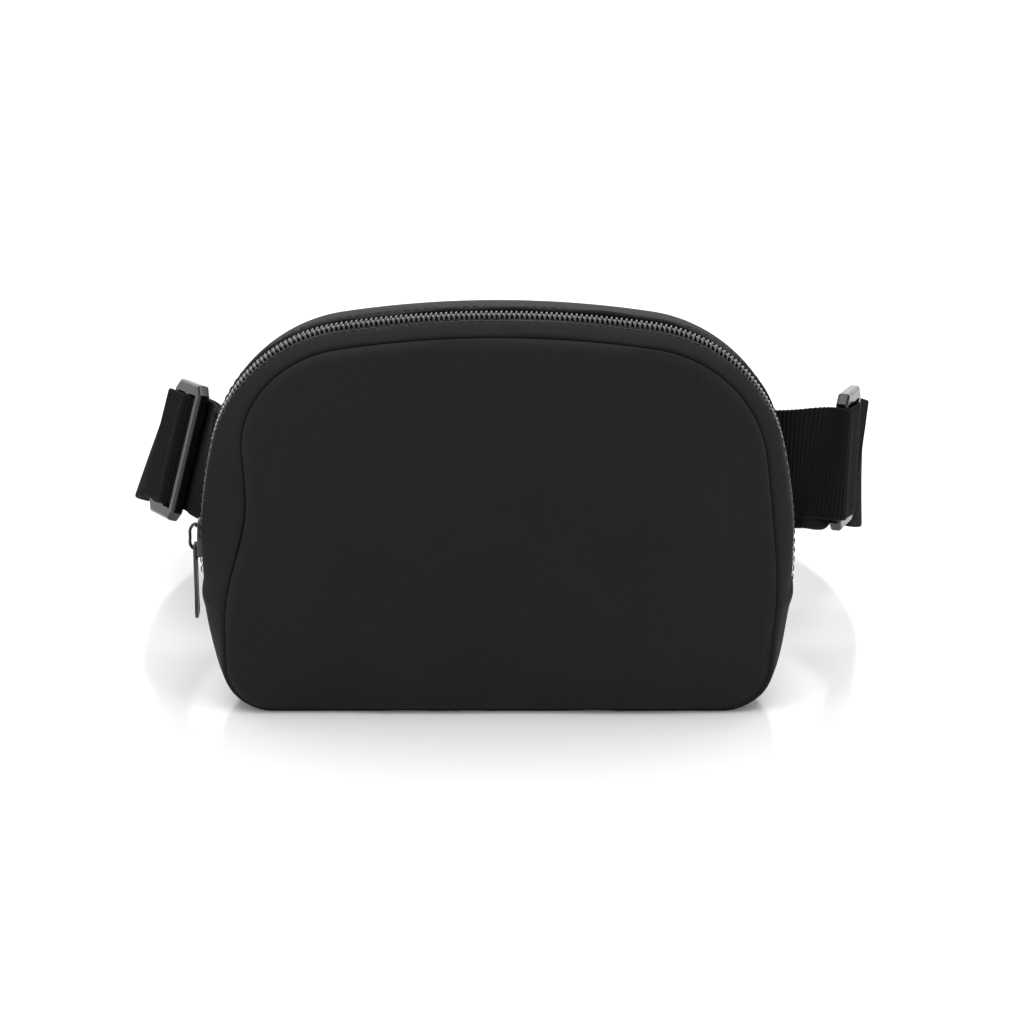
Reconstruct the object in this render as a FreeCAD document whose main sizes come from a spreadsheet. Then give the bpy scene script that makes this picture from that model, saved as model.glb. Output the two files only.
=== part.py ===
import FreeCAD, Part
import math
import os

import Sketcher

# Waist bag (belt bag), closed, standing on its base.
# Millimetres, +Z up, the front faces -Y. The origin is the middle of the base, on the ground.

doc = FreeCAD.newDocument("waist_bag")
sheet = doc.addObject("Spreadsheet::Sheet", "Sizes")

SIZES = [
    # the outline of the bag in the plane of the zip: eight arcs and lines, symmetric left and right
    ("bag_half_width", 92.0, "widest point to the middle"),
    ("bag_height", 125.0, "top of the arch above the base"),
    ("waist_height", 50.0, "height of the widest point"),
    ("side_radius", 150.0, "long arc of each side"),
    ("shoulder_radius", 48.0, "arc between side and top"),
    ("crown_radius", 320.0, "long flat arc of the top"),
    ("foot_radius", 19.0, "corner between side and base"),
    # the same outline, drawn in, is used for the front and back seams
    ("front_depth", 29.0, "front seam to the middle of the base"),
    ("front_inset", 4.0, "front seam outline inside the zip outline"),
    ("front_lean", 1.0, "degrees the front panel leans back"),
    ("back_depth", 30.0, "back seam to the middle of the base"),
    ("back_inset", 10.0, "back seam outline inside the zip outline"),
    ("zip_depth", 15.0, "zip line to the middle of the base"),
    ("band_end", 41.0, "height where the zip bands meet the base gusset"),
    ("base_trim", 0.05, "taken off the underside, which leaves it flat"),
    # cloth
    ("cloth", 1.2, "outer cloth with its coating"),
    ("foam", 3.0, "foam sheet in the front and back"),
    ("lining", 0.8, "lining cloth"),
    ("layer_gap", 0.15, "air between two layers"),
    ("front_dome", 5.0, "how far the front panel bulges"),
    ("dome_run", 20.0, "width of the curved rim of the front panel"),
    ("binding_width", 2.4, "tape that binds each inside seam"),
    ("binding_thick", 1.2, "bound seam, beyond the cloth"),
    # zip
    ("zip_opening", 12.0, "between the folded edges of the two bands"),
    ("coil_width", 2.5, "each row of coil teeth"),
    ("coil_height", 2.2, "coil teeth, from the tape outwards"),
    ("coil_gap", 1.4, "between the two rows"),
    ("coil_sink", 0.2, "top of the teeth below the cloth surface"),
    ("tape_thick", 0.5, "zip tape"),
    ("tape_under", 2.8, "part of each tape hidden under its band"),
    ("stop_length", 2.4, "end stop along the zip"),
    # slider and pull
    ("slider_height", 53.0, "middle of the slider at rest, above the base"),
    ("slider_length", 12.0, "along the zip"),
    ("slider_wide", 8.6, "across the two mouths"),
    ("slider_narrow", 6.4, "across the tail"),
    ("slider_plate", 1.2, "thickness of each plate"),
    ("slider_play", 0.35, "clearance round teeth and tape"),
    ("post_width", 0.7, "wedge between the two rows"),
    ("bridge_reach", 2.8, "how far the hook stands out"),
    ("bridge_length", 8.6, "length of the hook along the zip"),
    ("bridge_wire", 0.9, "thickness of the hook"),
    ("bridge_width", 2.0, "width of the hook"),
    ("pull_length", 24.0, "pull tab from its pivot to its tip"),
    ("pull_width", 5.0, "pull tab"),
    ("pull_tip_width", 6.4, "flared tip"),
    ("pull_thick", 1.0, "pull tab"),
    ("pull_eye_length", 4.4, "hole in the pull along its length"),
    ("pull_eye_width", 3.0, "hole in the pull across it"),
    # belt
    ("webbing_width", 37.0, "belt webbing"),
    ("webbing_thick", 1.6, "belt webbing"),
    ("belt_height", 61.5, "middle of the webbing where it leaves the bag"),
    ("glide_length", 24.0, "adjuster, along the webbing"),
    ("glide_thick", 4.0, "adjuster"),
    ("glide_bar", 3.6, "each outer bar of the adjuster"),
    ("glide_middle_bar", 4.0, "middle bar of the adjuster"),
    ("glide_side", 3.8, "each end of the adjuster, beside its slots"),
    ("slot_play", 1.4, "slots and gaps longer than the webbing is wide"),
    ("web_gap", 0.1, "air between two layers of webbing"),
    ("corner_gap", 0.3, "webbing clear of the bars where it turns through a slot"),
    # buckle at the back of the belt
    ("buckle_back", 176.0, "middle of the buckle behind the bag"),
    ("tail_rise", 4.0, "outer layer above the inner one on the right"),
    ("buckle_side", 6.5, "housing beyond each edge of the webbing"),
    ("buckle_shift", 11.0, "mouth of the housing to the middle of the bag"),
    ("yoke_length", 12.0, "plug outside the housing"),
    ("bar_slot", 7.0, "gap between each end of the buckle and its webbing bar"),
    ("buckle_thick", 13.0, "housing"),
    ("buckle_length", 34.0, "housing, along the webbing"),
    ("buckle_wall", 2.0, "housing wall"),
    ("buckle_play", 0.4, "clearance of the plug in the housing"),
    ("bar_radius", 2.4, "bar that the webbing is looped on"),
    ("bar_clearance", 0.1, "webbing loop round the bar"),
    ("prong_length", 23.0, "arm from its root to its tip"),
    ("prong_arm", 3.6, "arm thickness"),
    ("prong_head", 8.0, "latch head, across the arm"),
    ("prong_depth", 7.0, "arm and head, through the buckle"),
]

row = 1
for name, value, note in SIZES:
    sheet.set("A%d" % row, name)
    sheet.set("B%d" % row, repr(value))
    sheet.set("C%d" % row, note)
    sheet.setAlias("B%d" % row, name)
    row += 1
doc.recompute()


def size(name):
    """The number in the sheet under this alias."""
    return float(sheet.get(name))


def value_of(expression):
    """The number that an expression on the sheet gives now."""
    result = sheet.evalExpression(expression)
    return float(getattr(result, "Value", result))


def bind(thing, target, expression):
    """Ties a property or a sketch constraint to the sheet."""
    thing.setExpression(target, expression.replace("Sizes.", "<<Sizes>>."))


sheet.Label = "Sizes"
nodes = {}


def plane(body, role):
    """One of a body's own origin planes."""
    return next(f for f in body.Origin.OriginFeatures if f.Role == role)


def new_body(name):
    body = doc.addObject("PartDesign::Body", name)
    body.Label = name
    nodes[name] = body
    return body


def sketch_on(body, name, role, offset="0"):
    """An empty sketch on an origin plane, moved along the plane's normal."""
    sketch = body.newObject("Sketcher::SketchObject", name)
    sketch.AttachmentSupport = [(plane(body, role), "")]
    sketch.MapMode = "FlatFace"
    bind(sketch, "AttachmentOffset.Base.z", offset)
    return sketch


def circles_meet(first, r_first, second, r_second):
    """The right-hand crossing of two circles."""
    dx, dy = second[0] - first[0], second[1] - first[1]
    apart = math.hypot(dx, dy)
    along = (r_first ** 2 - r_second ** 2 + apart ** 2) / (2 * apart)
    aside = math.sqrt(max(r_first ** 2 - along ** 2, 0))
    base = (first[0] + dx * along / apart, first[1] + dy * along / apart)
    one = (base[0] - dy * aside / apart, base[1] + dx * aside / apart)
    two = (base[0] + dy * aside / apart, base[1] - dx * aside / apart)
    return one if one[0] > two[0] else two


def angle_from(centre, point):
    return math.atan2(point[1] - centre[1], point[0] - centre[0])


def ring_sketch(body, name, depth, inset, lift="0", lean="0"):
    """The bag's outline, drawn in by inset, on a plane at Y = depth.

    Base line, two foot arcs, two side arcs, two shoulder arcs and the crown arc, all tangent.
    lift raises the base line and lean tilts the plane back, in degrees.
    """
    sketch = sketch_on(body, name, "XZ_Plane", "-(%s)" % depth)
    sketch.AttachmentOffset = FreeCAD.Placement(
        FreeCAD.Vector(0, 0, -value_of(depth)), FreeCAD.Rotation(FreeCAD.Vector(1, 0, 0), -1)
    )
    bind(sketch, "AttachmentOffset.Rotation.Angle", lean)
    bind(sketch, "AttachmentOffset.Base.z", "-(%s)" % depth)
    terms = {
        "side_x": "Sizes.bag_half_width - Sizes.side_radius",
        "side_z": "Sizes.waist_height",
        "side_r": "Sizes.side_radius - (%s)" % inset,
        "crown_z": "Sizes.bag_height - Sizes.crown_radius",
        "crown_r": "Sizes.crown_radius - (%s)" % inset,
        "shoulder_r": "Sizes.shoulder_radius - (%s)" % inset,
        "foot_r": "Sizes.foot_radius - 0.5 * (%s)" % inset,
        "base_z": "(%s) - Sizes.base_trim" % lift,
    }
    v = {key: value_of(text) for key, text in terms.items()}
    side = (v["side_x"], v["side_z"])
    crown = (0.0, v["crown_z"])
    shoulder = circles_meet(side, v["side_r"] - v["shoulder_r"], crown, v["crown_r"] - v["shoulder_r"])
    foot_z = v["base_z"] + v["foot_r"]
    foot_reach = v["side_r"] - v["foot_r"]
    foot = (side[0] + math.sqrt(foot_reach ** 2 - (foot_z - side[1]) ** 2), foot_z)

    low = angle_from(side, foot)
    high = angle_from(side, shoulder)
    top = angle_from(crown, shoulder)
    turn = math.pi
    arcs = [
        (foot, v["foot_r"], -turn / 2, low),
        (side, v["side_r"], low, high),
        (shoulder, v["shoulder_r"], high, top),
        (crown, v["crown_r"], top, turn - top),
        ((-shoulder[0], shoulder[1]), v["shoulder_r"], turn - top, turn - high),
        ((-side[0], side[1]), v["side_r"], turn - high, turn - low),
        ((-foot[0], foot[1]), v["foot_r"], turn - low, 1.5 * turn),
    ]
    axis = FreeCAD.Vector(0, 0, 1)
    shapes = [
        Part.LineSegment(
            FreeCAD.Vector(-foot[0], v["base_z"], 0), FreeCAD.Vector(foot[0], v["base_z"], 0)
        )
    ]
    for centre, radius, start, end in arcs:
        circle = Part.Circle(FreeCAD.Vector(centre[0], centre[1], 0), axis, radius)
        shapes.append(Part.ArcOfCircle(circle, start, end))
    sketch.addGeometry(shapes, False)

    rules = [Sketcher.Constraint("Tangent", i, 2, (i + 1) % 8, 1) for i in range(8)]
    rules += [
        Sketcher.Constraint("Horizontal", 0),
        Sketcher.Constraint("Symmetric", 2, 3, 6, 3, -2),
        Sketcher.Constraint("Equal", 2, 6),
        Sketcher.Constraint("Equal", 3, 5),
        Sketcher.Constraint("Equal", 1, 7),
        Sketcher.Constraint("PointOnObject", 4, 3, -2),
    ]
    sketch.addConstraint(rules)
    sizes = [
        ("side_x", Sketcher.Constraint("DistanceX", -1, 1, 2, 3, v["side_x"])),
        ("side_z", Sketcher.Constraint("DistanceY", -1, 1, 2, 3, v["side_z"])),
        ("side_r", Sketcher.Constraint("Radius", 2, v["side_r"])),
        ("crown_z", Sketcher.Constraint("DistanceY", -1, 1, 4, 3, v["crown_z"])),
        ("crown_r", Sketcher.Constraint("Radius", 4, v["crown_r"])),
        ("shoulder_r", Sketcher.Constraint("Radius", 3, v["shoulder_r"])),
        ("foot_r", Sketcher.Constraint("Radius", 1, v["foot_r"])),
        ("base_z", Sketcher.Constraint("DistanceY", -1, 1, 0, 1, v["base_z"])),
    ]
    for key, rule in sizes:
        index = sketch.addConstraint(rule)
        sketch.renameConstraint(index, key)
        bind(sketch, "Constraints." + key, terms[key])
    return sketch


def loft(body, kind, name, rings):
    feature = body.newObject("PartDesign::%sLoft" % kind, name)
    feature.Profile = rings[0]
    feature.Sections = rings[1:]
    feature.Ruled = True
    return feature


def ring_tube(name, stations, thick, cut=None):
    """A band round the bag: stations of (depth, inset, lift, lean), thick inwards.

    cut is "above" or "below": the side of the band end that is taken away.
    """
    body = new_body(name)
    outer = [ring_sketch(body, "%s_outer_%d" % (name, i), *s) for i, s in enumerate(stations)]
    loft(body, "Additive", name + "_skin", outer)
    inner = []
    for i, (depth, inset, lift, lean) in enumerate(stations):
        drawn_in = "(%s) + (%s)" % (inset, thick)
        raised = "(%s) + (%s)" % (lift, thick)
        inner.append(ring_sketch(body, "%s_inner_%d" % (name, i), depth, drawn_in, raised, lean))
    loft(body, "Subtractive", name + "_hollow", inner)
    if cut:
        clip_band(body, name, cut)
    return body


def clip_band(body, name, side, level="Sizes.band_end"):
    """Takes away the part of a band above or below a height."""
    reach = 400.0
    sketch = sketch_on(body, name + "_clip", "XZ_Plane")
    edge = value_of(level)
    far = edge + reach if side == "above" else edge - reach
    corners = [(-reach, edge), (reach, edge), (reach, far), (-reach, far)]
    for i in range(4):
        a, b = corners[i], corners[(i + 1) % 4]
        sketch.addGeometry(
            Part.LineSegment(FreeCAD.Vector(a[0], a[1], 0), FreeCAD.Vector(b[0], b[1], 0)), False
        )
    sketch.addConstraint([Sketcher.Constraint("Coincident", i, 2, (i + 1) % 4, 1) for i in range(4)])
    sketch.addConstraint([Sketcher.Constraint("Horizontal", i) for i in (0, 2)])
    sketch.addConstraint([Sketcher.Constraint("Vertical", i) for i in (1, 3)])
    index = sketch.addConstraint(Sketcher.Constraint("DistanceY", -1, 1, 0, 1, edge))
    sketch.renameConstraint(index, "edge")
    bind(sketch, "Constraints.edge", level)
    sketch.addConstraint(Sketcher.Constraint("DistanceX", 0, 1, 0, 2, 2 * reach))
    sketch.addConstraint(Sketcher.Constraint("DistanceX", 0, 1, -1, 1, reach))
    sketch.addConstraint(Sketcher.Constraint("DistanceY", 0, 1, 3, 1, far - edge))
    pocket = body.newObject("PartDesign::Pocket", name + "_cut")
    pocket.Profile = sketch
    pocket.Type = "ThroughAll"
    pocket.Midplane = True
    return pocket


FRONT = "-Sizes.front_depth"
BACK = "Sizes.back_depth"
ZIP = "-Sizes.zip_depth"
ZIP_FRONT_EDGE = "-Sizes.zip_depth - Sizes.zip_opening / 2"
ZIP_REAR_EDGE = "-Sizes.zip_depth + Sizes.zip_opening / 2"
LEAN = "-Sizes.front_lean"

# How fast the bands draw in from the zip towards each seam.
FRONT_SLOPE = "Sizes.front_inset / (Sizes.front_depth - Sizes.zip_depth - Sizes.zip_opening / 2)"
BACK_SLOPE = "Sizes.back_inset / (Sizes.back_depth + Sizes.zip_depth - Sizes.zip_opening / 2)"
UNDER_CLOTH = "Sizes.cloth + Sizes.layer_gap"
INSIDE_BINDING = "Sizes.cloth + Sizes.binding_thick + 2 * Sizes.layer_gap"


def polygon(body, name, role, points, offset="0"):
    """A closed outline of straight lines; every corner is tied to the sheet by its two coordinates."""
    sketch = sketch_on(body, name, role, offset)
    places = [(value_of(x), value_of(y)) for x, y in points]
    count = len(places)
    for i in range(count):
        start = FreeCAD.Vector(places[i][0], places[i][1], 0)
        end = FreeCAD.Vector(places[(i + 1) % count][0], places[(i + 1) % count][1], 0)
        sketch.addGeometry(Part.LineSegment(start, end), False)
    rules = [Sketcher.Constraint("Coincident", i, 2, (i + 1) % count, 1) for i in range(count)]
    sketch.addConstraint(rules)
    for i in range(count):
        for kind, axis in (("DistanceX", 0), ("DistanceY", 1)):
            index = sketch.addConstraint(Sketcher.Constraint(kind, -1, 1, i, 1, places[i][axis]))
            key = "%s_%d" % ("xy"[axis], i)
            sketch.renameConstraint(index, key)
            bind(sketch, "Constraints." + key, points[i][axis])
    return sketch


def box_outline(body, name, role, x0, x1, y0, y1, offset="0"):
    return polygon(body, name, role, [(x0, y0), (x1, y0), (x1, y1), (x0, y1)], offset)


def circle(body, name, role, x, y, radius, offset="0"):
    sketch = sketch_on(body, name, role, offset)
    centre = FreeCAD.Vector(value_of(x), value_of(y), 0)
    sketch.addGeometry(Part.Circle(centre, FreeCAD.Vector(0, 0, 1), value_of(radius)), False)
    rules = [
        ("x", x, Sketcher.Constraint("DistanceX", -1, 1, 0, 3, value_of(x))),
        ("y", y, Sketcher.Constraint("DistanceY", -1, 1, 0, 3, value_of(y))),
        ("r", radius, Sketcher.Constraint("Radius", 0, value_of(radius))),
    ]
    for key, text, rule in rules:
        index = sketch.addConstraint(rule)
        sketch.renameConstraint(index, key)
        bind(sketch, "Constraints." + key, text)
    return sketch


def pad(body, sketch, length, middle=True, reverse=False):
    feature = body.newObject("PartDesign::Pad", sketch.Name + "_pad")
    feature.Profile = sketch
    bind(feature, "Length", length)
    feature.Midplane = middle
    feature.Reversed = reverse
    return feature


def pocket(body, sketch, length=None):
    """A cut both ways from the sketch, through everything unless a length is given."""
    feature = body.newObject("PartDesign::Pocket", sketch.Name + "_pocket")
    feature.Profile = sketch
    feature.Midplane = True
    if length:
        bind(feature, "Length", length)
    else:
        feature.Type = "ThroughAll"
    return feature


def put(body, x, y, z, angle="0", axis=(0, 1, 0)):
    """Places a body, with every number tied to the sheet."""
    turn = FreeCAD.Rotation(FreeCAD.Vector(*axis), value_of(angle) or 1)
    body.Placement = FreeCAD.Placement(FreeCAD.Vector(value_of(x), value_of(y), value_of(z)), turn)
    bind(body, "Placement.Base.x", x)
    bind(body, "Placement.Base.y", y)
    bind(body, "Placement.Base.z", z)
    bind(body, "Placement.Rotation.Angle", angle)


# Front: outer cloth, foam and lining, each a shallow dome.
def dome_layer(name, behind, thick, drawn_in, rim):
    """One layer of the front. behind: how far it lies behind the cloth's face. rim: its edge depth."""
    body = new_body(name)
    edge = "Sizes.front_inset + " + drawn_in
    middle = edge + " + Sizes.dome_run"
    rise = "0.6 * Sizes.dome_run"
    plane_at = "-Sizes.front_depth + " + behind
    top_at = plane_at + " - Sizes.front_dome"
    low = "(%s)" % drawn_in
    outer = []
    if rim:
        outer.append(
            ring_sketch(body, name + "_edge", "%s + %s" % (plane_at, thick), edge, low, LEAN)
        )
    outer.append(ring_sketch(body, name + "_rim", plane_at, edge, low, LEAN))
    outer.append(ring_sketch(body, name + "_top", top_at, middle, low + " + " + rise, LEAN))
    loft(body, "Additive", name + "_dome", outer)
    back = "%s + %s" % (plane_at, thick) if rim else plane_at
    inside = edge if rim else edge + " + 1.5 * " + thick
    lift = low if rim else low + " + " + thick
    inner = [
        ring_sketch(body, name + "_hollow_rim", back, inside, lift, LEAN),
        ring_sketch(
            body, name + "_hollow_top", "%s + %s" % (top_at, thick), middle, low + " + " + rise, LEAN
        ),
    ]
    loft(body, "Subtractive", name + "_hollow", inner)
    return body


def flat_underside(name):
    """Trims a piece that rests on the ground to Z = 0, which leaves one plane face there."""
    body = nodes[name]
    reach = "2 * Sizes.bag_half_width"
    under = box_outline(body, name + "_under", "XZ_Plane", "-" + reach, reach, "-10 * Sizes.base_trim", "0")
    pocket(body, under)


FOAM_BEHIND = "(Sizes.cloth + Sizes.layer_gap)"
LINING_BEHIND = "(Sizes.cloth + Sizes.foam + 2 * Sizes.layer_gap)"
dome_layer("front_panel", "0", "Sizes.cloth", "0", rim=False)
dome_layer("front_foam", FOAM_BEHIND, "Sizes.foam", "(%s)" % INSIDE_BINDING, rim=True)
dome_layer("front_lining", LINING_BEHIND, "Sizes.lining", "(%s)" % INSIDE_BINDING, rim=True)


# Back: the same three layers, flat.
def back_layer(name, face, thick, drawn_in):
    """A flat sheet; face is the Y of its side nearest the front."""
    body = new_body(name)
    outline = ring_sketch(
        body, name + "_outline", face, "Sizes.back_inset + " + drawn_in, drawn_in, "0"
    )
    pad(body, outline, thick, middle=False, reverse=True)
    return body


back_layer("back_panel", BACK, "Sizes.cloth", "0")
back_layer("back_foam", BACK + " - Sizes.layer_gap - Sizes.foam", "Sizes.foam", INSIDE_BINDING)
back_layer(
    "back_lining",
    BACK + " - 2 * Sizes.layer_gap - Sizes.foam - Sizes.lining",
    "Sizes.lining",
    INSIDE_BINDING,
)

# The walls between front and back: two bands with the zip between them, and the base gusset.
front_station = (FRONT, "Sizes.front_inset", "0", LEAN)
back_station = (BACK, "Sizes.back_inset", "0", "0")
ring_tube(
    "zip_band_front",
    [front_station, (ZIP_FRONT_EDGE, "0", "0", "0")],
    "Sizes.cloth",
    "below",
)
ring_tube("zip_band_rear", [(ZIP_REAR_EDGE, "0", "0", "0"), back_station], "Sizes.cloth", "below")
ring_tube(
    "base_gusset",
    [front_station, (ZIP_FRONT_EDGE, "0", "0", "0"), (ZIP_REAR_EDGE, "0", "0", "0"), back_station],
    "Sizes.cloth",
    "above",
)

for grounded in ("front_panel", "back_panel", "base_gusset"):
    flat_underside(grounded)


def drawn(slope, run, extra):
    """The inset of a layer under a sloping band, run past the band's zip edge."""
    return "(%s) * (%s) + %s" % (slope, run, extra)


# Lining of the base gusset and of the rear band.
LINING_FRONT = "(Sizes.front_depth - Sizes.binding_width - Sizes.zip_depth - Sizes.zip_opening / 2)"
LINING_BACK = "(Sizes.back_depth - Sizes.foam - Sizes.lining - 3 * Sizes.layer_gap)"
LINING_BACK_RUN = "(%s + Sizes.zip_depth - Sizes.zip_opening / 2)" % LINING_BACK
ring_tube(
    "base_lining",
    [
        (
            "-Sizes.front_depth + Sizes.binding_width + 4 * Sizes.layer_gap",
            drawn(FRONT_SLOPE, LINING_FRONT, UNDER_CLOTH),
            UNDER_CLOTH,
            "0",
        ),
        (ZIP_FRONT_EDGE, UNDER_CLOTH, UNDER_CLOTH, "0"),
        (ZIP_REAR_EDGE, UNDER_CLOTH, UNDER_CLOTH, "0"),
        (LINING_BACK, drawn(BACK_SLOPE, LINING_BACK_RUN, UNDER_CLOTH), UNDER_CLOTH, "0"),
    ],
    "Sizes.lining",
    "above",
)
ring_tube(
    "rear_band_lining",
    [
        (
            ZIP_REAR_EDGE + " + Sizes.tape_under + Sizes.layer_gap",
            drawn(BACK_SLOPE, "Sizes.tape_under + Sizes.layer_gap", UNDER_CLOTH),
            UNDER_CLOTH,
            "0",
        ),
        (LINING_BACK, drawn(BACK_SLOPE, LINING_BACK_RUN, UNDER_CLOTH), UNDER_CLOTH, "0"),
    ],
    "Sizes.lining",
    "below",
)

# Tape that binds the two inside seams, right round the bag.
ring_tube(
    "seam_binding_front",
    [
        ("-Sizes.front_depth + Sizes.layer_gap", "Sizes.front_inset + " + UNDER_CLOTH, UNDER_CLOTH, LEAN),
        (
            "-Sizes.front_depth + Sizes.binding_width",
            drawn("-(%s)" % FRONT_SLOPE, "Sizes.binding_width", "Sizes.front_inset + " + UNDER_CLOTH),
            UNDER_CLOTH,
            LEAN,
        ),
    ],
    "Sizes.binding_thick",
)
BINDING_EDGE = "Sizes.back_depth - Sizes.layer_gap"
ring_tube(
    "seam_binding_back",
    [
        (
            BINDING_EDGE + " - Sizes.binding_width",
            drawn("-(%s)" % BACK_SLOPE, "Sizes.binding_width", "Sizes.back_inset + " + UNDER_CLOTH),
            UNDER_CLOTH,
            "0",
        ),
        (BINDING_EDGE, "Sizes.back_inset + " + UNDER_CLOTH, UNDER_CLOTH, "0"),
    ],
    "Sizes.binding_thick",
)

# Zip: two tapes, two rows of coil teeth on them, and the stops at both ends.
TAPE_INSET = "(Sizes.coil_sink + Sizes.coil_height)"
ring_tube(
    "zip_tape_front",
    [
        (
            ZIP_FRONT_EDGE + " - Sizes.tape_under",
            drawn(FRONT_SLOPE, "Sizes.tape_under", TAPE_INSET),
            "0",
            "0",
        ),
        (ZIP_FRONT_EDGE, TAPE_INSET, "0", "0"),
        (ZIP + " - Sizes.coil_gap / 2", TAPE_INSET, "0", "0"),
    ],
    "Sizes.tape_thick",
    "below",
)
ring_tube(
    "zip_tape_rear",
    [
        (ZIP + " + Sizes.coil_gap / 2", TAPE_INSET, "0", "0"),
        (ZIP_REAR_EDGE, TAPE_INSET, "0", "0"),
        (
            ZIP_REAR_EDGE + " + Sizes.tape_under",
            drawn(BACK_SLOPE, "Sizes.tape_under", TAPE_INSET),
            "0",
            "0",
        ),
    ],
    "Sizes.tape_thick",
    "below",
)
COIL_END = "Sizes.band_end + Sizes.stop_length + 2 * Sizes.layer_gap"
for side, near, far in (
    ("front", ZIP + " - Sizes.coil_gap / 2 - Sizes.coil_width", ZIP + " - Sizes.coil_gap / 2"),
    ("rear", ZIP + " + Sizes.coil_gap / 2", ZIP + " + Sizes.coil_gap / 2 + Sizes.coil_width"),
):
    coil = "zip_coil_" + side
    body = ring_tube(
        coil, [(near, "Sizes.coil_sink", "0", "0"), (far, "Sizes.coil_sink", "0", "0")], "Sizes.coil_height"
    )
    clip_band(body, coil, "below", COIL_END)


def stop_block(name, left, low_y, width):
    """A small block on the tape, at one end of the teeth."""
    block = doc.addObject("Part::Box", name)
    bind(block, "Length", "Sizes.coil_height - 2 * Sizes.layer_gap")
    bind(block, "Width", width)
    bind(block, "Height", "Sizes.stop_length")
    inward = "Sizes.coil_sink + 2 * Sizes.layer_gap"
    if left:
        bind(block, "Placement.Base.x", "-Sizes.bag_half_width + %s" % inward)
    else:
        bind(block, "Placement.Base.x", "Sizes.bag_half_width - Sizes.coil_height - Sizes.coil_sink")
    bind(block, "Placement.Base.y", low_y)
    bind(block, "Placement.Base.z", "Sizes.band_end + Sizes.layer_gap")
    return block


stops = doc.addObject("Part::Compound", "zip_top_stops")
stops.Links = [
    stop_block("stop_front", True, ZIP + " - Sizes.coil_gap / 2 - Sizes.coil_width", "Sizes.coil_width"),
    stop_block("stop_rear", True, ZIP + " + Sizes.coil_gap / 2", "Sizes.coil_width"),
]
stops.Label = "zip_top_stops"
nodes["zip_top_stops"] = stops
nodes["zip_bottom_stop"] = stop_block(
    "zip_bottom_stop",
    False,
    ZIP + " - Sizes.coil_gap / 2 - Sizes.coil_width",
    "2 * Sizes.coil_width + Sizes.coil_gap",
)

# Slider. Its own frame: -X away from the bag, Z up along the zip, X = 0 at the cloth surface.
PLATE_IN = "(Sizes.coil_sink - Sizes.slider_play)"
PLATE_OUT = "(%s - Sizes.slider_plate)" % PLATE_IN
UNDER_TAPE = "(%s + Sizes.tape_thick + Sizes.slider_play)" % TAPE_INSET
FLANGE_IN = "(Sizes.coil_width + Sizes.coil_gap / 2 + Sizes.slider_play)"


def slider_outline(body, name, offset):
    """The plate from outside: broad at the two mouths below, narrow at the tail above."""
    low, high = "-Sizes.slider_length / 2", "Sizes.slider_length / 2"
    wide, narrow = "Sizes.slider_wide / 2", "Sizes.slider_narrow / 2"
    cut = "(Sizes.slider_wide - Sizes.slider_narrow) / 2"
    points = [
        ("-(%s) + %s" % (wide, cut), low),
        ("%s - %s" % (wide, cut), low),
        (wide, "%s + %s" % (low, cut)),
        (wide, "Sizes.slider_length / 6"),
        (narrow, "%s - %s / 2" % (high, cut)),
        ("%s - %s / 2" % (narrow, cut), high),
        ("-(%s) + %s / 2" % (narrow, cut), high),
        ("-(%s)" % narrow, "%s - %s / 2" % (high, cut)),
        ("-(%s)" % wide, "Sizes.slider_length / 6"),
        ("-(%s)" % wide, "%s + %s" % (low, cut)),
    ]
    return polygon(body, name, "YZ_Plane", points, offset)


slider = new_body("zip_slider")
pad(slider, slider_outline(slider, "slider_top", PLATE_OUT), "Sizes.slider_plate", middle=False)
pad(slider, slider_outline(slider, "slider_bottom", UNDER_TAPE), "Sizes.slider_plate", middle=False)
post = box_outline(
    slider,
    "slider_post",
    "XZ_Plane",
    "%s - Sizes.slider_plate / 2" % PLATE_IN,
    "%s + Sizes.slider_plate / 2" % UNDER_TAPE,
    "-Sizes.slider_length / 2 + 1",
    "-Sizes.slider_length / 2 + 4",
)
pad(slider, post, "Sizes.post_width")
for side in ("", "-"):
    flange = box_outline(
        slider,
        "slider_flange" + ("_rear" if side == "" else "_front"),
        "XY_Plane",
        "%s - Sizes.slider_plate / 2" % PLATE_IN,
        "Sizes.coil_sink + Sizes.coil_height / 2",
        side + FLANGE_IN,
        side + "Sizes.slider_wide / 2",
        "-Sizes.slider_length / 6",
    )
    pad(slider, flange, "Sizes.slider_length / 2")
HOOK_OUT = "(%s - Sizes.bridge_reach)" % PLATE_OUT
HOOK_LOW = "(-Sizes.bridge_length / 2)"
hook = polygon(
    slider,
    "slider_hook",
    "XZ_Plane",
    [
        (PLATE_OUT + " + Sizes.slider_plate / 2", HOOK_LOW),
        (HOOK_OUT + " + Sizes.bridge_wire", HOOK_LOW),
        (HOOK_OUT, HOOK_LOW + " + Sizes.bridge_wire"),
        (HOOK_OUT, "Sizes.bridge_length / 2 - Sizes.bridge_wire"),
        (HOOK_OUT + " + Sizes.bridge_wire", "Sizes.bridge_length / 2"),
        (PLATE_OUT + " - Sizes.bridge_wire", "Sizes.bridge_length / 2"),
        (PLATE_OUT + " - Sizes.bridge_wire", "Sizes.bridge_length / 2 - Sizes.bridge_wire"),
        (HOOK_OUT + " + 1.5 * Sizes.bridge_wire", "Sizes.bridge_length / 2 - Sizes.bridge_wire"),
        (HOOK_OUT + " + Sizes.bridge_wire", "Sizes.bridge_length / 2 - 1.5 * Sizes.bridge_wire"),
        (HOOK_OUT + " + Sizes.bridge_wire", HOOK_LOW + " + 1.5 * Sizes.bridge_wire"),
        (HOOK_OUT + " + 1.5 * Sizes.bridge_wire", HOOK_LOW + " + Sizes.bridge_wire"),
        (PLATE_OUT + " + Sizes.slider_plate / 2", HOOK_LOW + " + Sizes.bridge_wire"),
    ],
)
pad(slider, hook, "Sizes.bridge_width")
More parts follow.
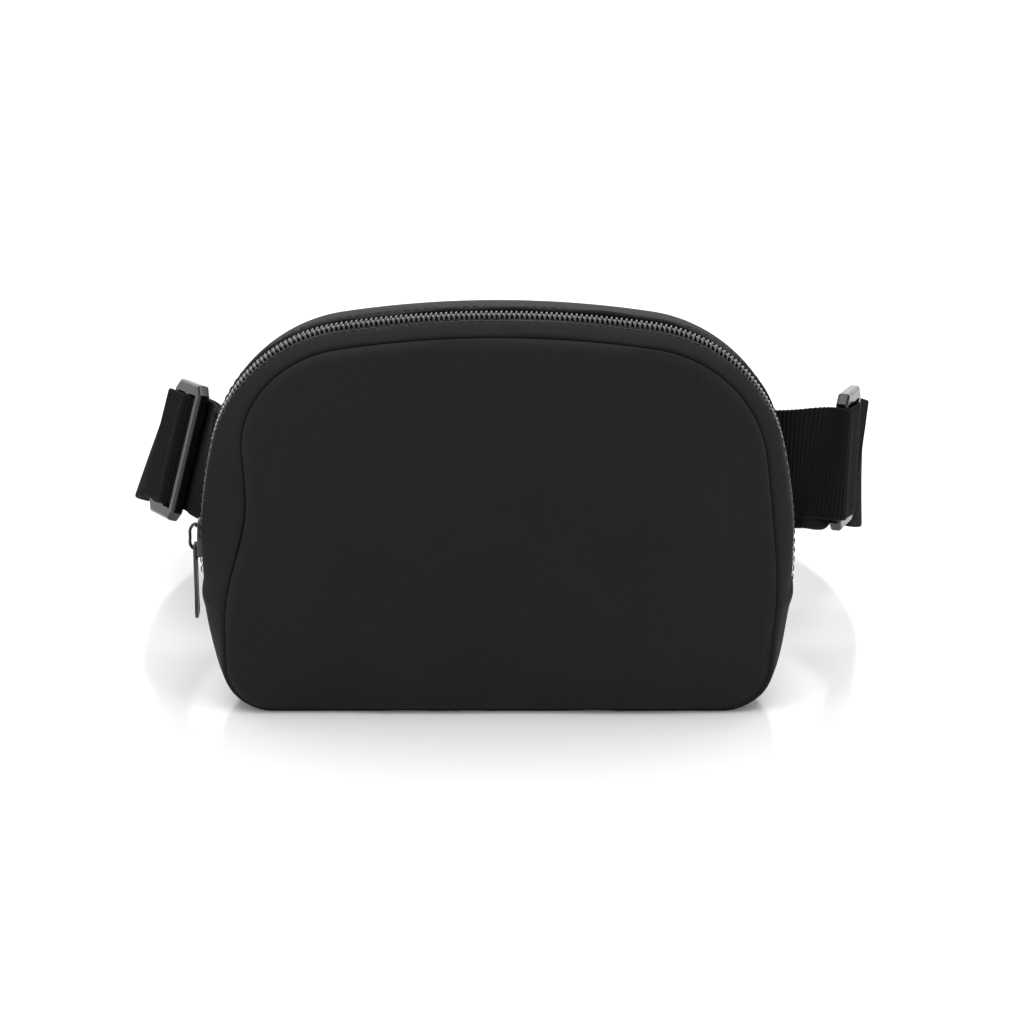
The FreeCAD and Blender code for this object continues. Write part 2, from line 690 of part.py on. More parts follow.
ABOVE_WAIST = "(Sizes.slider_height - Sizes.waist_height)"
put(
    slider,
    "Sizes.side_radius - Sizes.bag_half_width - sqrt(Sizes.side_radius ^ 2 - %s ^ 2)" % ABOVE_WAIST,
    ZIP,
    "Sizes.slider_height",
    "asin(%s / Sizes.side_radius)" % ABOVE_WAIST,
)

# Pull tab, hanging from the hook by its top bar. Its own frame: the pivot is the origin, -Z down.
pull = new_body("zip_pull")
BAR = "Sizes.pull_thick / 2"
tab = polygon(
    pull,
    "pull_tab",
    "YZ_Plane",
    [
        ("-Sizes.pull_width / 2 + 0.8", BAR),
        ("-Sizes.pull_width / 2", "%s - 0.8" % BAR),
        ("-Sizes.pull_width / 2", "-Sizes.pull_length + 5"),
        ("-Sizes.pull_tip_width / 2", "-Sizes.pull_length + 1.2"),
        ("-Sizes.pull_tip_width / 2 + 1.2", "-Sizes.pull_length"),
        ("Sizes.pull_tip_width / 2 - 1.2", "-Sizes.pull_length"),
        ("Sizes.pull_tip_width / 2", "-Sizes.pull_length + 1.2"),
        ("Sizes.pull_width / 2", "-Sizes.pull_length + 5"),
        ("Sizes.pull_width / 2", "%s - 0.8" % BAR),
        ("Sizes.pull_width / 2 - 0.8", BAR),
    ],
)
pad(pull, tab, "Sizes.pull_thick")
eye = box_outline(
    pull,
    "pull_eye",
    "YZ_Plane",
    "-Sizes.pull_eye_width / 2",
    "Sizes.pull_eye_width / 2",
    "-%s - Sizes.pull_eye_length" % BAR,
    "-" + BAR,
)
pocket(pull, eye)
doc.recompute()
pivot_in_slider = FreeCAD.Vector(
    value_of("%s - (Sizes.bridge_reach - Sizes.bridge_wire) / 2" % PLATE_OUT),
    0,
    value_of("%s + Sizes.bridge_wire + Sizes.slider_play + %s" % (HOOK_LOW, BAR)),
)
pull.Placement.Base = slider.Placement.multVec(pivot_in_slider)

# Belt: webbing on edge. Each run is a ruled strip through upright cross-sections. Its layers lie one
# on another, at these distances from the middle of the long layer.
WEB_LOW = size("webbing_thick") + size("web_gap")
GLIDE_BASE = 1.5 * size("webbing_thick") + 2 * size("web_gap")
WEB_HIGH = GLIDE_BASE + size("glide_thick") + size("web_gap") + size("webbing_thick") / 2
LOOP_RADIUS = size("bar_radius") + size("bar_clearance") + size("webbing_thick") / 2
TAIL_LIFT = 3 * size("web_gap")

# Each side's route, hand-chosen, from the back seam round to the buckle: how far beyond the widest
# point of the bag, how far behind the back seam, how far below the height at the bag, degrees of lean.
BELT_ROUTES = {
    "right": [(-8.8, 2.6, 4, 0), (3.6, 3.4, 4, 0), (11.0, 6.0, 4.5, 0)],
    "left": [(-8.8, 2.6, 2, 0), (0.0, 5.0, 2, 8), (3.0, 11.5, 2.5, 16)],
}
# The middle of each adjuster on that route, and its direction: beyond, behind and below, as above.
GLIDES = {
    "right": ((18.6, 23.5, 8.5), (0.29, 0.93, 0.12), 0),
    "left": ((10.6, 30.0, 5.0), (0.43, 0.89, 0.13), 19),
}
BELT_BACK = {
    "right": [(28, 43.5, 14, 0), (32.5, 60, 22, 0), (28, 82, 29.5, 0), (16, 104, 34, 0), (-3, 127, 36, 0)],
    "left": [(21.5, 49, 8.5, 24), (27.5, 66, 14.5, 22), (24, 90, 24.5, 13), (9, 113, 32.5, 6), (-14, 133, 35.5, 1)],
}


def place(side, beyond, behind, below):
    """A point of the route in the bag's frame."""
    sign = 1 if side == "right" else -1
    return FreeCAD.Vector(
        sign * (size("bag_half_width") + beyond),
        size("back_depth") + behind,
        size("belt_height") - below,
    )


def outward(side, heading):
    """The horizontal direction away from the inside of the belt."""
    sign = 1 if side == "right" else -1
    return FreeCAD.Vector(sign * heading.y, -sign * heading.x, 0).normalize()


def web_axes(side, heading, lean):
    """Unit vectors up the webbing and out of its face, both square to its run."""
    run = FreeCAD.Vector(heading).normalize()
    tilt = math.radians(lean)
    normal = outward(side, heading) * math.cos(tilt) + FreeCAD.Vector(0, 0, math.sin(tilt))
    normal = (normal - run * normal.dot(run)).normalize()
    across = normal.cross(run)
    return (across if across.z > 0 else across * -1), normal


def section(side, middle, heading, lean, offset=0.0):
    """The webbing's upright rectangle, moved outwards by offset; its top leans inwards."""
    across, normal = web_axes(side, heading, lean)
    half_width, half_thick = size("webbing_width") / 2, size("webbing_thick") / 2
    centre = middle + normal * offset
    corners = [
        centre + across * (a * half_width) + normal * (b * half_thick)
        for a, b in ((-1, -1), (1, -1), (1, 1), (-1, 1))
    ]
    if side == "left":
        corners.reverse()
    return Part.makePolygon(corners + corners[:1])


def headings(points):
    """The direction of travel at each point, from its two neighbours."""
    last = len(points) - 1
    return [points[min(i + 1, last)] - points[max(i - 1, 0)] for i in range(len(points))]


def strip(side, stations):
    """One solid from flat runs; stations: (point, heading, lean, offset)."""
    wires = [section(side, *station) for station in stations]
    runs = [Part.makeLoft(list(pair), True, True) for pair in zip(wires, wires[1:])]
    return runs[0].multiFuse(runs[1:])


def cloth_feature(name, shape):
    feature = doc.addObject("Part::Feature", name)
    feature.Shape = shape
    feature.Label = name
    nodes[name] = feature
    return feature


def bar_ring(bar):
    """The webbing sewn round a bar of the buckle."""
    base = FreeCAD.Vector(bar.x, size("buckle_back"), bar.z - size("webbing_width") / 2)
    outer = Part.makeCylinder(LOOP_RADIUS + size("webbing_thick") / 2, size("webbing_width"), base)
    return outer.cut(Part.makeCylinder(LOOP_RADIUS - size("webbing_thick") / 2, size("webbing_width"), base))


BAR_REACH = {
    "right": value_of("Sizes.buckle_shift + Sizes.yoke_length + Sizes.bar_slot + Sizes.bar_radius"),
    "left": value_of("Sizes.buckle_length - Sizes.buckle_shift + Sizes.bar_slot + Sizes.bar_radius"),
}
END_RUN = 17.0
FREE_END = 1.5
glide_frames = {}
for side in ("right", "left"):
    sign = 1 if side == "right" else -1
    middle, direction, lean = GLIDES[side]
    centre = place(side, *middle)
    unit = FreeCAD.Vector(sign * direction[0], direction[1], -direction[2]).normalize()
    half = size("glide_length") / 2
    before = [(place(side, *p[:3]), p[3]) for p in BELT_ROUTES[side]]
    glide = [(centre - unit * half, lean), (centre + unit * half, lean)]
    after = [(place(side, *p[:3]), p[3]) for p in BELT_BACK[side]]
    bar = FreeCAD.Vector(
        sign * BAR_REACH[side],
        size("buckle_back") + LOOP_RADIUS,
        size("webbing_width") / 2 + size("buckle_side"),
    )
    end = [(bar + FreeCAD.Vector(sign * END_RUN, 0, 0), 0), (bar, 0)]
    route = before + glide + after + end
    points = [p for p, tilt in route]
    along = headings(points)
    along[0] = along[1]
    first = len(before)
    along[first] = along[first + 1] = unit
    along[-1] = FreeCAD.Vector(-sign, 0, 0)
    main = strip(side, [(p, along[i], tilt, 0.0) for i, (p, tilt) in enumerate(route)])
    cloth_feature("belt_webbing_" + side, main.fuse(bar_ring(bar)))

    # The second layer: from the back seam, through the adjuster and out as a short free end.
    turn_in = size("glide_middle_bar") / 2 + size("corner_gap")
    turn_out = half - size("glide_bar") - size("corner_gap")
    if side == "right":
        profile = [(-half - size("corner_gap"), WEB_HIGH), (turn_in, WEB_HIGH)]
        profile += [(turn_out, WEB_LOW), (half, WEB_LOW)]
        raised = size("tail_rise")
    else:
        profile = [(-half, WEB_LOW), (-turn_out, WEB_LOW), (-turn_in, WEB_HIGH), (half + FREE_END, WEB_HIGH)]
        raised = 0.0

    def lifted(point, heading, tilt):
        return point + web_axes(side, heading, tilt)[0] * raised

    tail = [(lifted(p, along[i], tilt), along[i], tilt, WEB_LOW) for i, (p, tilt) in enumerate(before)]
    middle = lifted(centre, unit, lean)
    tail += [(middle + unit * u, unit, lean, v) for u, v in profile]
    if side == "right":
        beyond = first + 2
        tilt = route[beyond][1]
        end_point = lifted(points[beyond], along[beyond], tilt)
        tail.append((end_point, along[beyond], tilt, WEB_LOW + TAIL_LIFT))
    cloth_feature("belt_tail_" + side, strip(side, tail))
    glide_frames[side] = (middle, unit, lean)


# Adjusters (tri-glides): a frame with two slots and three bars, beside the webbing.
def adjuster(name, side):
    """Its own frame: X along the webbing, Y across it, Z away from the belt's inside."""
    body = new_body(name)
    corner = "3"
    slot_half = "(Sizes.webbing_width + Sizes.slot_play) / 2"
    half_x, half_y = "Sizes.glide_length / 2", slot_half + " + Sizes.glide_side"
    points = []
    for sx, sy in ((-1, -1), (1, -1), (1, 1), (-1, 1)):
        on_x = ("%d * (%s - %s)" % (sx, half_x, corner), "%d * (%s)" % (sy, half_y))
        on_y = ("%d * (%s)" % (sx, half_x), "%d * (%s - %s)" % (sy, half_y, corner))
        points += [on_y, on_x] if sx * sy > 0 else [on_x, on_y]
    frame = pad(body, polygon(body, name + "_frame", "XY_Plane", points), "Sizes.glide_thick")
    doc.recompute()
    rims = []
    for i, edge in enumerate(frame.Shape.Edges):
        box = edge.BoundBox
        if box.ZLength < 0.01:
            rims.append("Edge%d" % (i + 1))
    rounding = body.newObject("PartDesign::Fillet", name + "_rounding")
    rounding.Base = (frame, rims)
    bind(rounding, "Radius", "0.3 * Sizes.glide_thick")
    for sign in ("-", ""):
        slot = box_outline(
            body,
            name + ("_slot_near" if sign else "_slot_far"),
            "XY_Plane",
            "%s(Sizes.glide_middle_bar / 2)" % sign,
            "%s(Sizes.glide_length / 2 - Sizes.glide_bar)" % sign,
            "-" + slot_half,
            slot_half,
        )
        pocket(body, slot)
    centre, straight, lean = glide_frames[side]
    x_axis = FreeCAD.Vector(straight).normalize()
    z_axis = web_axes(side, straight, lean)[1]
    y_axis = z_axis.cross(x_axis)
    body.Placement = FreeCAD.Placement(
        centre + z_axis * (GLIDE_BASE + size("glide_thick") / 2),
        FreeCAD.Rotation(x_axis, y_axis, z_axis, "ZXY"),
    )
    return body


adjuster("adjuster_right", "right")
adjuster("adjuster_left", "left")

# Side-release buckle, standing on its long edge behind the bag. Its own frame: the mouth of the
# socket is X = 0, the plug comes from +X, Y is through the buckle and Z is across the webbing.
SHIFT = "Sizes.buckle_shift"
HALF_Z = "(Sizes.webbing_width / 2 + Sizes.buckle_side)"
HALF_Y = "Sizes.buckle_thick / 2"
CAVITY_Z = "(%s - 2 * Sizes.buckle_wall)" % HALF_Z
CAVITY_Y = "(Sizes.buckle_thick / 2 - Sizes.buckle_wall)"


def buckle_put(body):
    put(body, SHIFT, "Sizes.buckle_back", HALF_Z)


def webbing_bar(body, name, start, sign):
    """Two arms and a round bar beyond a slot; start is the X of the frame's end."""
    reach = "%s + %s1 * (Sizes.bar_slot + 2 * Sizes.bar_radius)" % (start, sign)
    inner = "(Sizes.webbing_width + Sizes.slot_play) / 2"
    for up in ("", "-"):
        arm = box_outline(
            body,
            name + ("_arm_low" if up else "_arm_high"),
            "XZ_Plane",
            start,
            reach,
            "%s(%s)" % (up, inner),
            "%s(%s - 1.5)" % (up, HALF_Z),
        )
        pad(body, arm, "2 * Sizes.bar_radius")
    centre = "%s + %s1 * (Sizes.bar_slot + Sizes.bar_radius)" % (start, sign)
    rod = circle(body, name + "_bar", "XY_Plane", centre, "0", "Sizes.bar_radius")
    pad(body, rod, "2 * %s - 4" % HALF_Z)


socket = new_body("buckle_socket")
shell = polygon(
    socket,
    "socket_shell",
    "XZ_Plane",
    [
        ("0", "-%s + 2" % HALF_Z),
        ("0", "%s - 2" % HALF_Z),
        ("-2", HALF_Z),
        ("-Sizes.buckle_length + 5", HALF_Z),
        ("-Sizes.buckle_length", "%s - 4" % HALF_Z),
        ("-Sizes.buckle_length", "-%s + 4" % HALF_Z),
        ("-Sizes.buckle_length + 5", "-%s" % HALF_Z),
        ("-2", "-%s" % HALF_Z),
    ],
)
pad(socket, shell, "Sizes.buckle_thick")
webbing_bar(socket, "socket", "-Sizes.buckle_length", "-")
cavity = box_outline(
    socket, "socket_cavity", "XZ_Plane", "-Sizes.prong_length - 3", "1", "-" + CAVITY_Z, CAVITY_Z
)
pocket(socket, cavity, "2 * " + CAVITY_Y)
HEAD_BACK = "-Sizes.prong_length + 10.0"
window = box_outline(
    socket,
    "socket_windows",
    "XZ_Plane",
    "-Sizes.prong_length - 0.8",
    "%s + 2 * Sizes.buckle_play" % HEAD_BACK,
    "-%s - 1" % HALF_Z,
    "%s + 1" % HALF_Z,
)
pocket(socket, window, "Sizes.prong_depth + 3 * Sizes.buckle_play")
buckle_put(socket)

plug = new_body("buckle_plug")
yoke = polygon(
    plug,
    "plug_yoke",
    "XZ_Plane",
    [
        ("1", "-%s + 3" % HALF_Z),
        ("Sizes.yoke_length - 2", "-%s + 1" % HALF_Z),
        ("Sizes.yoke_length", "-%s + 3" % HALF_Z),
        ("Sizes.yoke_length", "%s - 3" % HALF_Z),
        ("Sizes.yoke_length - 2", "%s - 1" % HALF_Z),
        ("1", "%s - 3" % HALF_Z),
    ],
)
pad(plug, yoke, "2 * (%s)" % CAVITY_Y)
tongue = polygon(
    plug,
    "plug_tongue",
    "XZ_Plane",
    [
        ("2", "-5"),
        ("-Sizes.prong_length + 6", "-4"),
        ("-Sizes.prong_length + 4", "-2"),
        ("-Sizes.prong_length + 4", "2"),
        ("-Sizes.prong_length + 6", "4"),
        ("2", "5"),
    ],
)
pad(plug, tongue, "4")
webbing_bar(plug, "plug", "Sizes.yoke_length", "")
buckle_put(plug)

# The two sprung arms of the plug. Their own frame: the root is the origin, -X into the socket.
ARM_MIDDLE = "(%s - Sizes.buckle_play - Sizes.prong_arm / 2 - 1.8)" % CAVITY_Z
for side, up in (("top", ""), ("bottom", "-")):
    arm = new_body("buckle_prong_" + side)
    head_out = "(%s - %s - 1)" % (HALF_Z, ARM_MIDDLE)
    outline = polygon(
        arm,
        "prong_%s_outline" % side,
        "XZ_Plane",
        [
            ("0", up + "(-Sizes.prong_arm / 2)"),
            ("-Sizes.prong_length + 1.5", up + "(-Sizes.prong_arm / 2)"),
            ("-Sizes.prong_length", up + "(Sizes.prong_arm / 4)"),
            ("-Sizes.prong_length + 1", up + "(Sizes.prong_head / 2)"),
            ("-Sizes.prong_length + 5", up + head_out),
            (HEAD_BACK, up + head_out),
            (HEAD_BACK, up + "(Sizes.prong_arm / 2)"),
            ("0", up + "(Sizes.prong_arm / 2)"),
        ],
    )
    pad(arm, outline, "Sizes.prong_depth")
    put(arm, SHIFT + " + Sizes.buckle_play", "Sizes.buckle_back", "%s + %s%s" % (HALF_Z, up or "1 * ", ARM_MIDDLE))


def finish():
    """Recomputes, checks every object and writes one file per piece."""
    doc.recompute()
    for thing in doc.Objects:
        if "Invalid" in thing.State or "Error" in thing.State:
            raise RuntimeError("%s failed: %s" % (thing.Name, thing.State))
    os.makedirs("parts", exist_ok=True)
    for name, thing in nodes.items():
        shape = thing.Shape
        if shape.isNull() or not shape.isValid() or not shape.Solids:
            raise RuntimeError("%s has no valid solid" % name)
        if thing.Label != name:
            thing.Label = name
        shape.exportStep("parts/%s.step" % name)
        print("%-22s %10.1f mm3, %d solid(s)" % (name, shape.Volume, len(shape.Solids)))


finish()
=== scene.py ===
import math

import bmesh
import bpy
import numpy as np
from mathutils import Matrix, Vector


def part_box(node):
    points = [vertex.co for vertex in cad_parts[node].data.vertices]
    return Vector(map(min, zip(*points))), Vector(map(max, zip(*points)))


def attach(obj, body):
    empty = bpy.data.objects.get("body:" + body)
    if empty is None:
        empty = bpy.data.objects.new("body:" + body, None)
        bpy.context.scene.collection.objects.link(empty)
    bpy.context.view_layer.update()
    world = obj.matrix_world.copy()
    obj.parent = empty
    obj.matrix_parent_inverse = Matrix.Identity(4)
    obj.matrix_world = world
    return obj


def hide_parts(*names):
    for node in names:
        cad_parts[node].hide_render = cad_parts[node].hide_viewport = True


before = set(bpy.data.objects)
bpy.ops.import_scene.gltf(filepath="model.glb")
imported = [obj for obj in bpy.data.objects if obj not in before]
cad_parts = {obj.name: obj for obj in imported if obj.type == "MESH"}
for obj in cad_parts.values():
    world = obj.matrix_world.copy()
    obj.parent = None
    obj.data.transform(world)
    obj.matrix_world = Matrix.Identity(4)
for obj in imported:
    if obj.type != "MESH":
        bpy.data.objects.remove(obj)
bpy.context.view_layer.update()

mm = 0.001  # shapes below are worked out in millimetres


def hexColour(text):
    # An sRGB hex colour as linear red, green, blue and one for alpha.
    parts = [int(text[i:i + 2], 16) / 255 for i in (1, 3, 5)]
    return [c / 12.92 if c <= 0.04045 else ((c + 0.055) / 1.055) ** 2.4 for c in parts] + [1.0]


def addNode(tree, kind, settings=None, links=None):
    # Adds a shader node, sets its properties or unlinked sockets by name, and links sockets into it.
    node = tree.nodes.new("ShaderNode" + kind)
    for name, value in (settings or {}).items():
        if isinstance(name, str) and name in node.bl_rna.properties:
            setattr(node, name, value)
        else:
            node.inputs[name].default_value = value
    for name, source in (links or {}).items():
        tree.links.new(source, node.inputs[name])
    return node


def newMaterial(name, shader):
    # A material with one Principled shader; shader holds its fixed socket values.
    material = bpy.data.materials.new(name)
    material.use_nodes = True
    tree = material.node_tree
    tree.nodes.clear()
    principled = addNode(tree, "BsdfPrincipled", shader)
    addNode(tree, "OutputMaterial", None, {"Surface": principled.outputs["BSDF"]})
    return material, tree, principled


def wovenCloth(name, colour, thread, shader, depth):
    # Plain weave seen close: rows of little pillows, each thread going over and under in turn.
    material, tree, principled = newMaterial(name, shader)
    uv = addNode(tree, "UVMap", {"uv_map": "cloth"})
    axes = addNode(tree, "SeparateXYZ", None, {"Vector": uv.outputs["UV"]})
    waves = []
    for axis in ("X", "Y"):
        turn = addNode(
            tree, "Math", {"operation": "MULTIPLY", 1: math.pi / (thread * mm)}, {0: axes.outputs[axis]}
        )
        waves.append(addNode(tree, "Math", {"operation": "SINE"}, {0: turn.outputs[0]}))
    pillows = addNode(
        tree, "Math", {"operation": "MULTIPLY"}, {0: waves[0].outputs[0], 1: waves[1].outputs[0]}
    )
    # yarns of slightly different tint, stretched along both thread directions
    tints = []
    for stretch in ((1.0, 0.06, 1.0), (0.06, 1.0, 1.0)):
        laid = addNode(tree, "Mapping", {"Scale": stretch}, {"Vector": uv.outputs["UV"]})
        yarn = {"Scale": 1.3 / (thread * mm), "Detail": 1.0}
        tints.append(addNode(tree, "TexNoise", yarn, {"Vector": laid.outputs["Vector"]}))
    mixed = addNode(tree, "Mix", {"data_type": "FLOAT", "Factor": 0.5})
    tree.links.new(tints[0].outputs["Fac"], mixed.inputs[2])
    tree.links.new(tints[1].outputs["Fac"], mixed.inputs[3])
    place = addNode(tree, "TexCoord")
    cloud = addNode(tree, "TexNoise", {"Scale": 26.0, "Detail": 3.0}, {"Vector": place.outputs["Object"]})
    both = addNode(tree, "Math", {"operation": "MULTIPLY_ADD", 1: 0.35, 2: 0.0}, {0: mixed.outputs[0]})
    shade = addNode(
        tree, "Math", {"operation": "MULTIPLY_ADD", 1: 0.30}, {0: cloud.outputs["Fac"], 2: both.outputs[0]}
    )
    ramp = addNode(tree, "ValToRGB", None, {"Fac": shade.outputs[0]})
    ramp.color_ramp.elements[0].position = 0.16
    ramp.color_ramp.elements[0].color = hexColour(colour[0])
    ramp.color_ramp.elements[1].position = 0.52
    ramp.color_ramp.elements[1].color = hexColour(colour[1])
    tree.links.new(ramp.outputs["Color"], principled.inputs["Base Color"])
    bump = addNode(tree, "Bump", {"Strength": 0.55, "Distance": depth * mm}, {"Height": pillows.outputs[0]})
    puckers = addNode(tree, "TexNoise", {"Scale": 90.0, "Detail": 2.0}, {"Vector": place.outputs["Object"]})
    bump2 = addNode(
        tree, "Bump", {"Strength": 0.25, "Distance": 0.5 * mm},
        {"Height": puckers.outputs["Fac"], "Normal": bump.outputs["Normal"]}
    )
    tree.links.new(bump2.outputs["Normal"], principled.inputs["Normal"])
    return material


def ribbedWebbing(name, colour):
    # Polypropylene webbing: the ribs are in the mesh, the filaments lie along each rib.
    material, tree, principled = newMaterial(
        name, {"Roughness": 0.6, "Specular IOR Level": 0.1, "IOR": 1.49}
    )
    uv = addNode(tree, "UVMap", {"uv_map": "cloth"})
    laid = addNode(tree, "Mapping", {"Scale": (1.0, 0.12, 1.0)}, {"Vector": uv.outputs["UV"]})
    filaments = addNode(
        tree, "TexNoise", {"Scale": 5200.0, "Detail": 2.0}, {"Vector": laid.outputs["Vector"]}
    )
    axes = addNode(tree, "SeparateXYZ", None, {"Vector": uv.outputs["UV"]})
    turn = addNode(tree, "Math", {"operation": "MULTIPLY", 1: math.pi / (0.95 * mm)}, {0: axes.outputs["Y"]})
    crossing = addNode(tree, "Math", {"operation": "SINE"}, {0: turn.outputs[0]})
    relief = addNode(
        tree, "Math", {"operation": "MULTIPLY_ADD", 1: 0.35},
        {0: crossing.outputs[0], 2: filaments.outputs["Fac"]}
    )
    ramp = addNode(tree, "ValToRGB", None, {"Fac": filaments.outputs["Fac"]})
    ramp.color_ramp.elements[0].position = 0.3
    ramp.color_ramp.elements[0].color = hexColour(colour[0])
    ramp.color_ramp.elements[1].position = 0.75
    ramp.color_ramp.elements[1].color = hexColour(colour[1])
    tree.links.new(ramp.outputs["Color"], principled.inputs["Base Color"])
    bump = addNode(tree, "Bump", {"Strength": 0.5, "Distance": 0.12 * mm}, {"Height": relief.outputs[0]})
    tree.links.new(bump.outputs["Normal"], principled.inputs["Normal"])
    return material


def mouldedPlastic(name, colour, roughness, grain, shader=None):
    # Injection-moulded part: nearly even colour, faint flow marks and fine scuffs in the gloss.
    values = {"Roughness": roughness, "IOR": 1.48, "Specular IOR Level": 0.5}
    values.update(shader or {})
    material, tree, principled = newMaterial(name, values)
    place = addNode(tree, "TexCoord")
    flow = addNode(
        tree, "TexNoise", {"Scale": 60.0, "Detail": 3.0, "Distortion": 0.8},
        {"Vector": place.outputs["Object"]}
    )
    scuff = addNode(
        tree, "TexNoise", {"Scale": 1 / (grain * mm), "Detail": 4.0}, {"Vector": place.outputs["Object"]}
    )
    ramp = addNode(tree, "ValToRGB", None, {"Fac": flow.outputs["Fac"]})
    ramp.color_ramp.elements[0].position = 0.3
    ramp.color_ramp.elements[0].color = hexColour(colour[0])
    ramp.color_ramp.elements[1].position = 0.7
    ramp.color_ramp.elements[1].color = hexColour(colour[1])
    tree.links.new(ramp.outputs["Color"], principled.inputs["Base Color"])
    rough = addNode(
        tree, "MapRange", {"To Min": roughness * 0.75, "To Max": min(1.0, roughness * 1.35)},
        {"Value": scuff.outputs["Fac"]}
    )
    tree.links.new(rough.outputs["Result"], principled.inputs["Roughness"])
    bump = addNode(tree, "Bump", {"Strength": 0.12, "Distance": 0.08 * mm}, {"Height": scuff.outputs["Fac"]})
    tree.links.new(bump.outputs["Normal"], principled.inputs["Normal"])
    return material


def foamSheet(name, colour):
    # Closed-cell polyethylene foam: pale grey skin of tiny cells.
    material, tree, principled = newMaterial(name, {"Roughness": 0.85, "IOR": 1.4})
    place = addNode(tree, "TexCoord")
    cells = addNode(tree, "TexVoronoi", {"Scale": 1 / (0.8 * mm)}, {"Vector": place.outputs["Object"]})
    ramp = addNode(tree, "ValToRGB", None, {"Fac": cells.outputs["Distance"]})
    ramp.color_ramp.elements[0].color = hexColour(colour[0])
    ramp.color_ramp.elements[1].color = hexColour(colour[1])
    tree.links.new(ramp.outputs["Color"], principled.inputs["Base Color"])
    bump = addNode(
        tree, "Bump", {"Strength": 0.4, "Distance": 0.2 * mm}, {"Height": cells.outputs["Distance"]}
    )
    tree.links.new(bump.outputs["Normal"], principled.inputs["Normal"])
    return material


clothShader = {
    "Roughness": 0.78, "Specular IOR Level": 0.22, "IOR": 1.5,
    "Sheen Weight": 0.03, "Sheen Roughness": 0.45, "Sheen Tint": hexColour("#b8b2bc"),
}
polyester = wovenCloth("woven polyester, coated", ("#0d0c0d", "#191719"), 0.62, clothShader, 0.10)
liningTaffeta = wovenCloth("taffeta lining", ("#111113", "#1c1c20"), 0.35, {"Roughness": 0.6}, 0.05)
tapeTwill = wovenCloth("zip tape twill", ("#0c0b0c", "#151415"), 0.5, {"Roughness": 0.8}, 0.12)
webbing = ribbedWebbing("ribbed polypropylene webbing", ("#010101", "#050505"))
coilNylon = mouldedPlastic("nylon coil", ("#242426", "#343437"), 0.17, 0.2)
acetal = mouldedPlastic("moulded acetal", ("#070707", "#0d0d0d"), 0.22, 0.5)
zinc = mouldedPlastic(
    "black enamelled zinc", ("#0a0a0b", "#111112"), 0.34, 0.25, {"Coat Weight": 0.4, "Coat Roughness": 0.2}
)
thread = mouldedPlastic("bonded polyester thread", ("#232224", "#343236"), 0.55, 0.1)
foam = foamSheet("closed-cell foam", ("#8d8d8d", "#a6a6a6"))
print("materials ready")


def gridQuads(rows, columns, closeColumns=False, flip=False):
    # The four corners of every cell of a grid of points numbered row by row.
    across = columns if closeColumns else columns - 1
    r, c = np.meshgrid(np.arange(rows - 1), np.arange(across), indexing="ij")
    r, c = r.ravel(), c.ravel()
    after = (c + 1) % columns
    quads = np.stack(
        [r * columns + c, r * columns + after, (r + 1) * columns + after, (r + 1) * columns + c], 1
    )
    return quads[:, ::-1] if flip else quads


def makePiece(name, points, faces, material, uv=None, body="bag", nodes=()):
    # A mesh piece from points in millimetres; uv, one pair per point, is in metres.
    mesh = bpy.data.meshes.new(name)
    mesh.from_pydata(
        (np.asarray(points).reshape(-1, 3) * mm).tolist(), [], [list(map(int, f)) for f in faces]
    )
    mesh.polygons.foreach_set("use_smooth", [True] * len(mesh.polygons))
    if uv is not None:
        corners = np.empty(len(mesh.loops), np.int32)
        mesh.loops.foreach_get("vertex_index", corners)
        layer = mesh.uv_layers.new(name="cloth")
        layer.data.foreach_set("uv", np.asarray(uv).reshape(-1, 2)[corners].astype(np.float32).ravel())
    mesh.materials.append(material)
    mesh.update()
    piece = bpy.data.objects.new(name, mesh)
    bpy.context.scene.collection.objects.link(piece)
    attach(piece, body)
    if nodes:
        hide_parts(*nodes)
    return piece


def thicken(piece, thickness):
    # Gives a sheet its real thickness, to the inside, and closes its edges.
    wall = piece.modifiers.new("thickness", "SOLIDIFY")
    wall.thickness = thickness * mm
    wall.offset = -1.0
    return piece


def ripples(points, sizeMm, amount, seed, count=7):
    # Soft unevenness of cloth: a sum of plane waves with seeded directions and phases, in millimetres.
    draw = np.random.default_rng(seed)
    total = np.zeros(points.shape[:-1])
    for _ in range(count):
        direction = draw.normal(size=3)
        direction /= np.linalg.norm(direction)
        length = sizeMm * draw.uniform(0.6, 1.7)
        total += np.sin(points @ direction * (2 * math.pi / length) + draw.uniform(0, 2 * math.pi))
    return amount * total / math.sqrt(count)


def smoothStep(value, low, high):
    share = np.clip((value - low) / (high - low), 0, 1)
    return share * share * (3 - 2 * share)


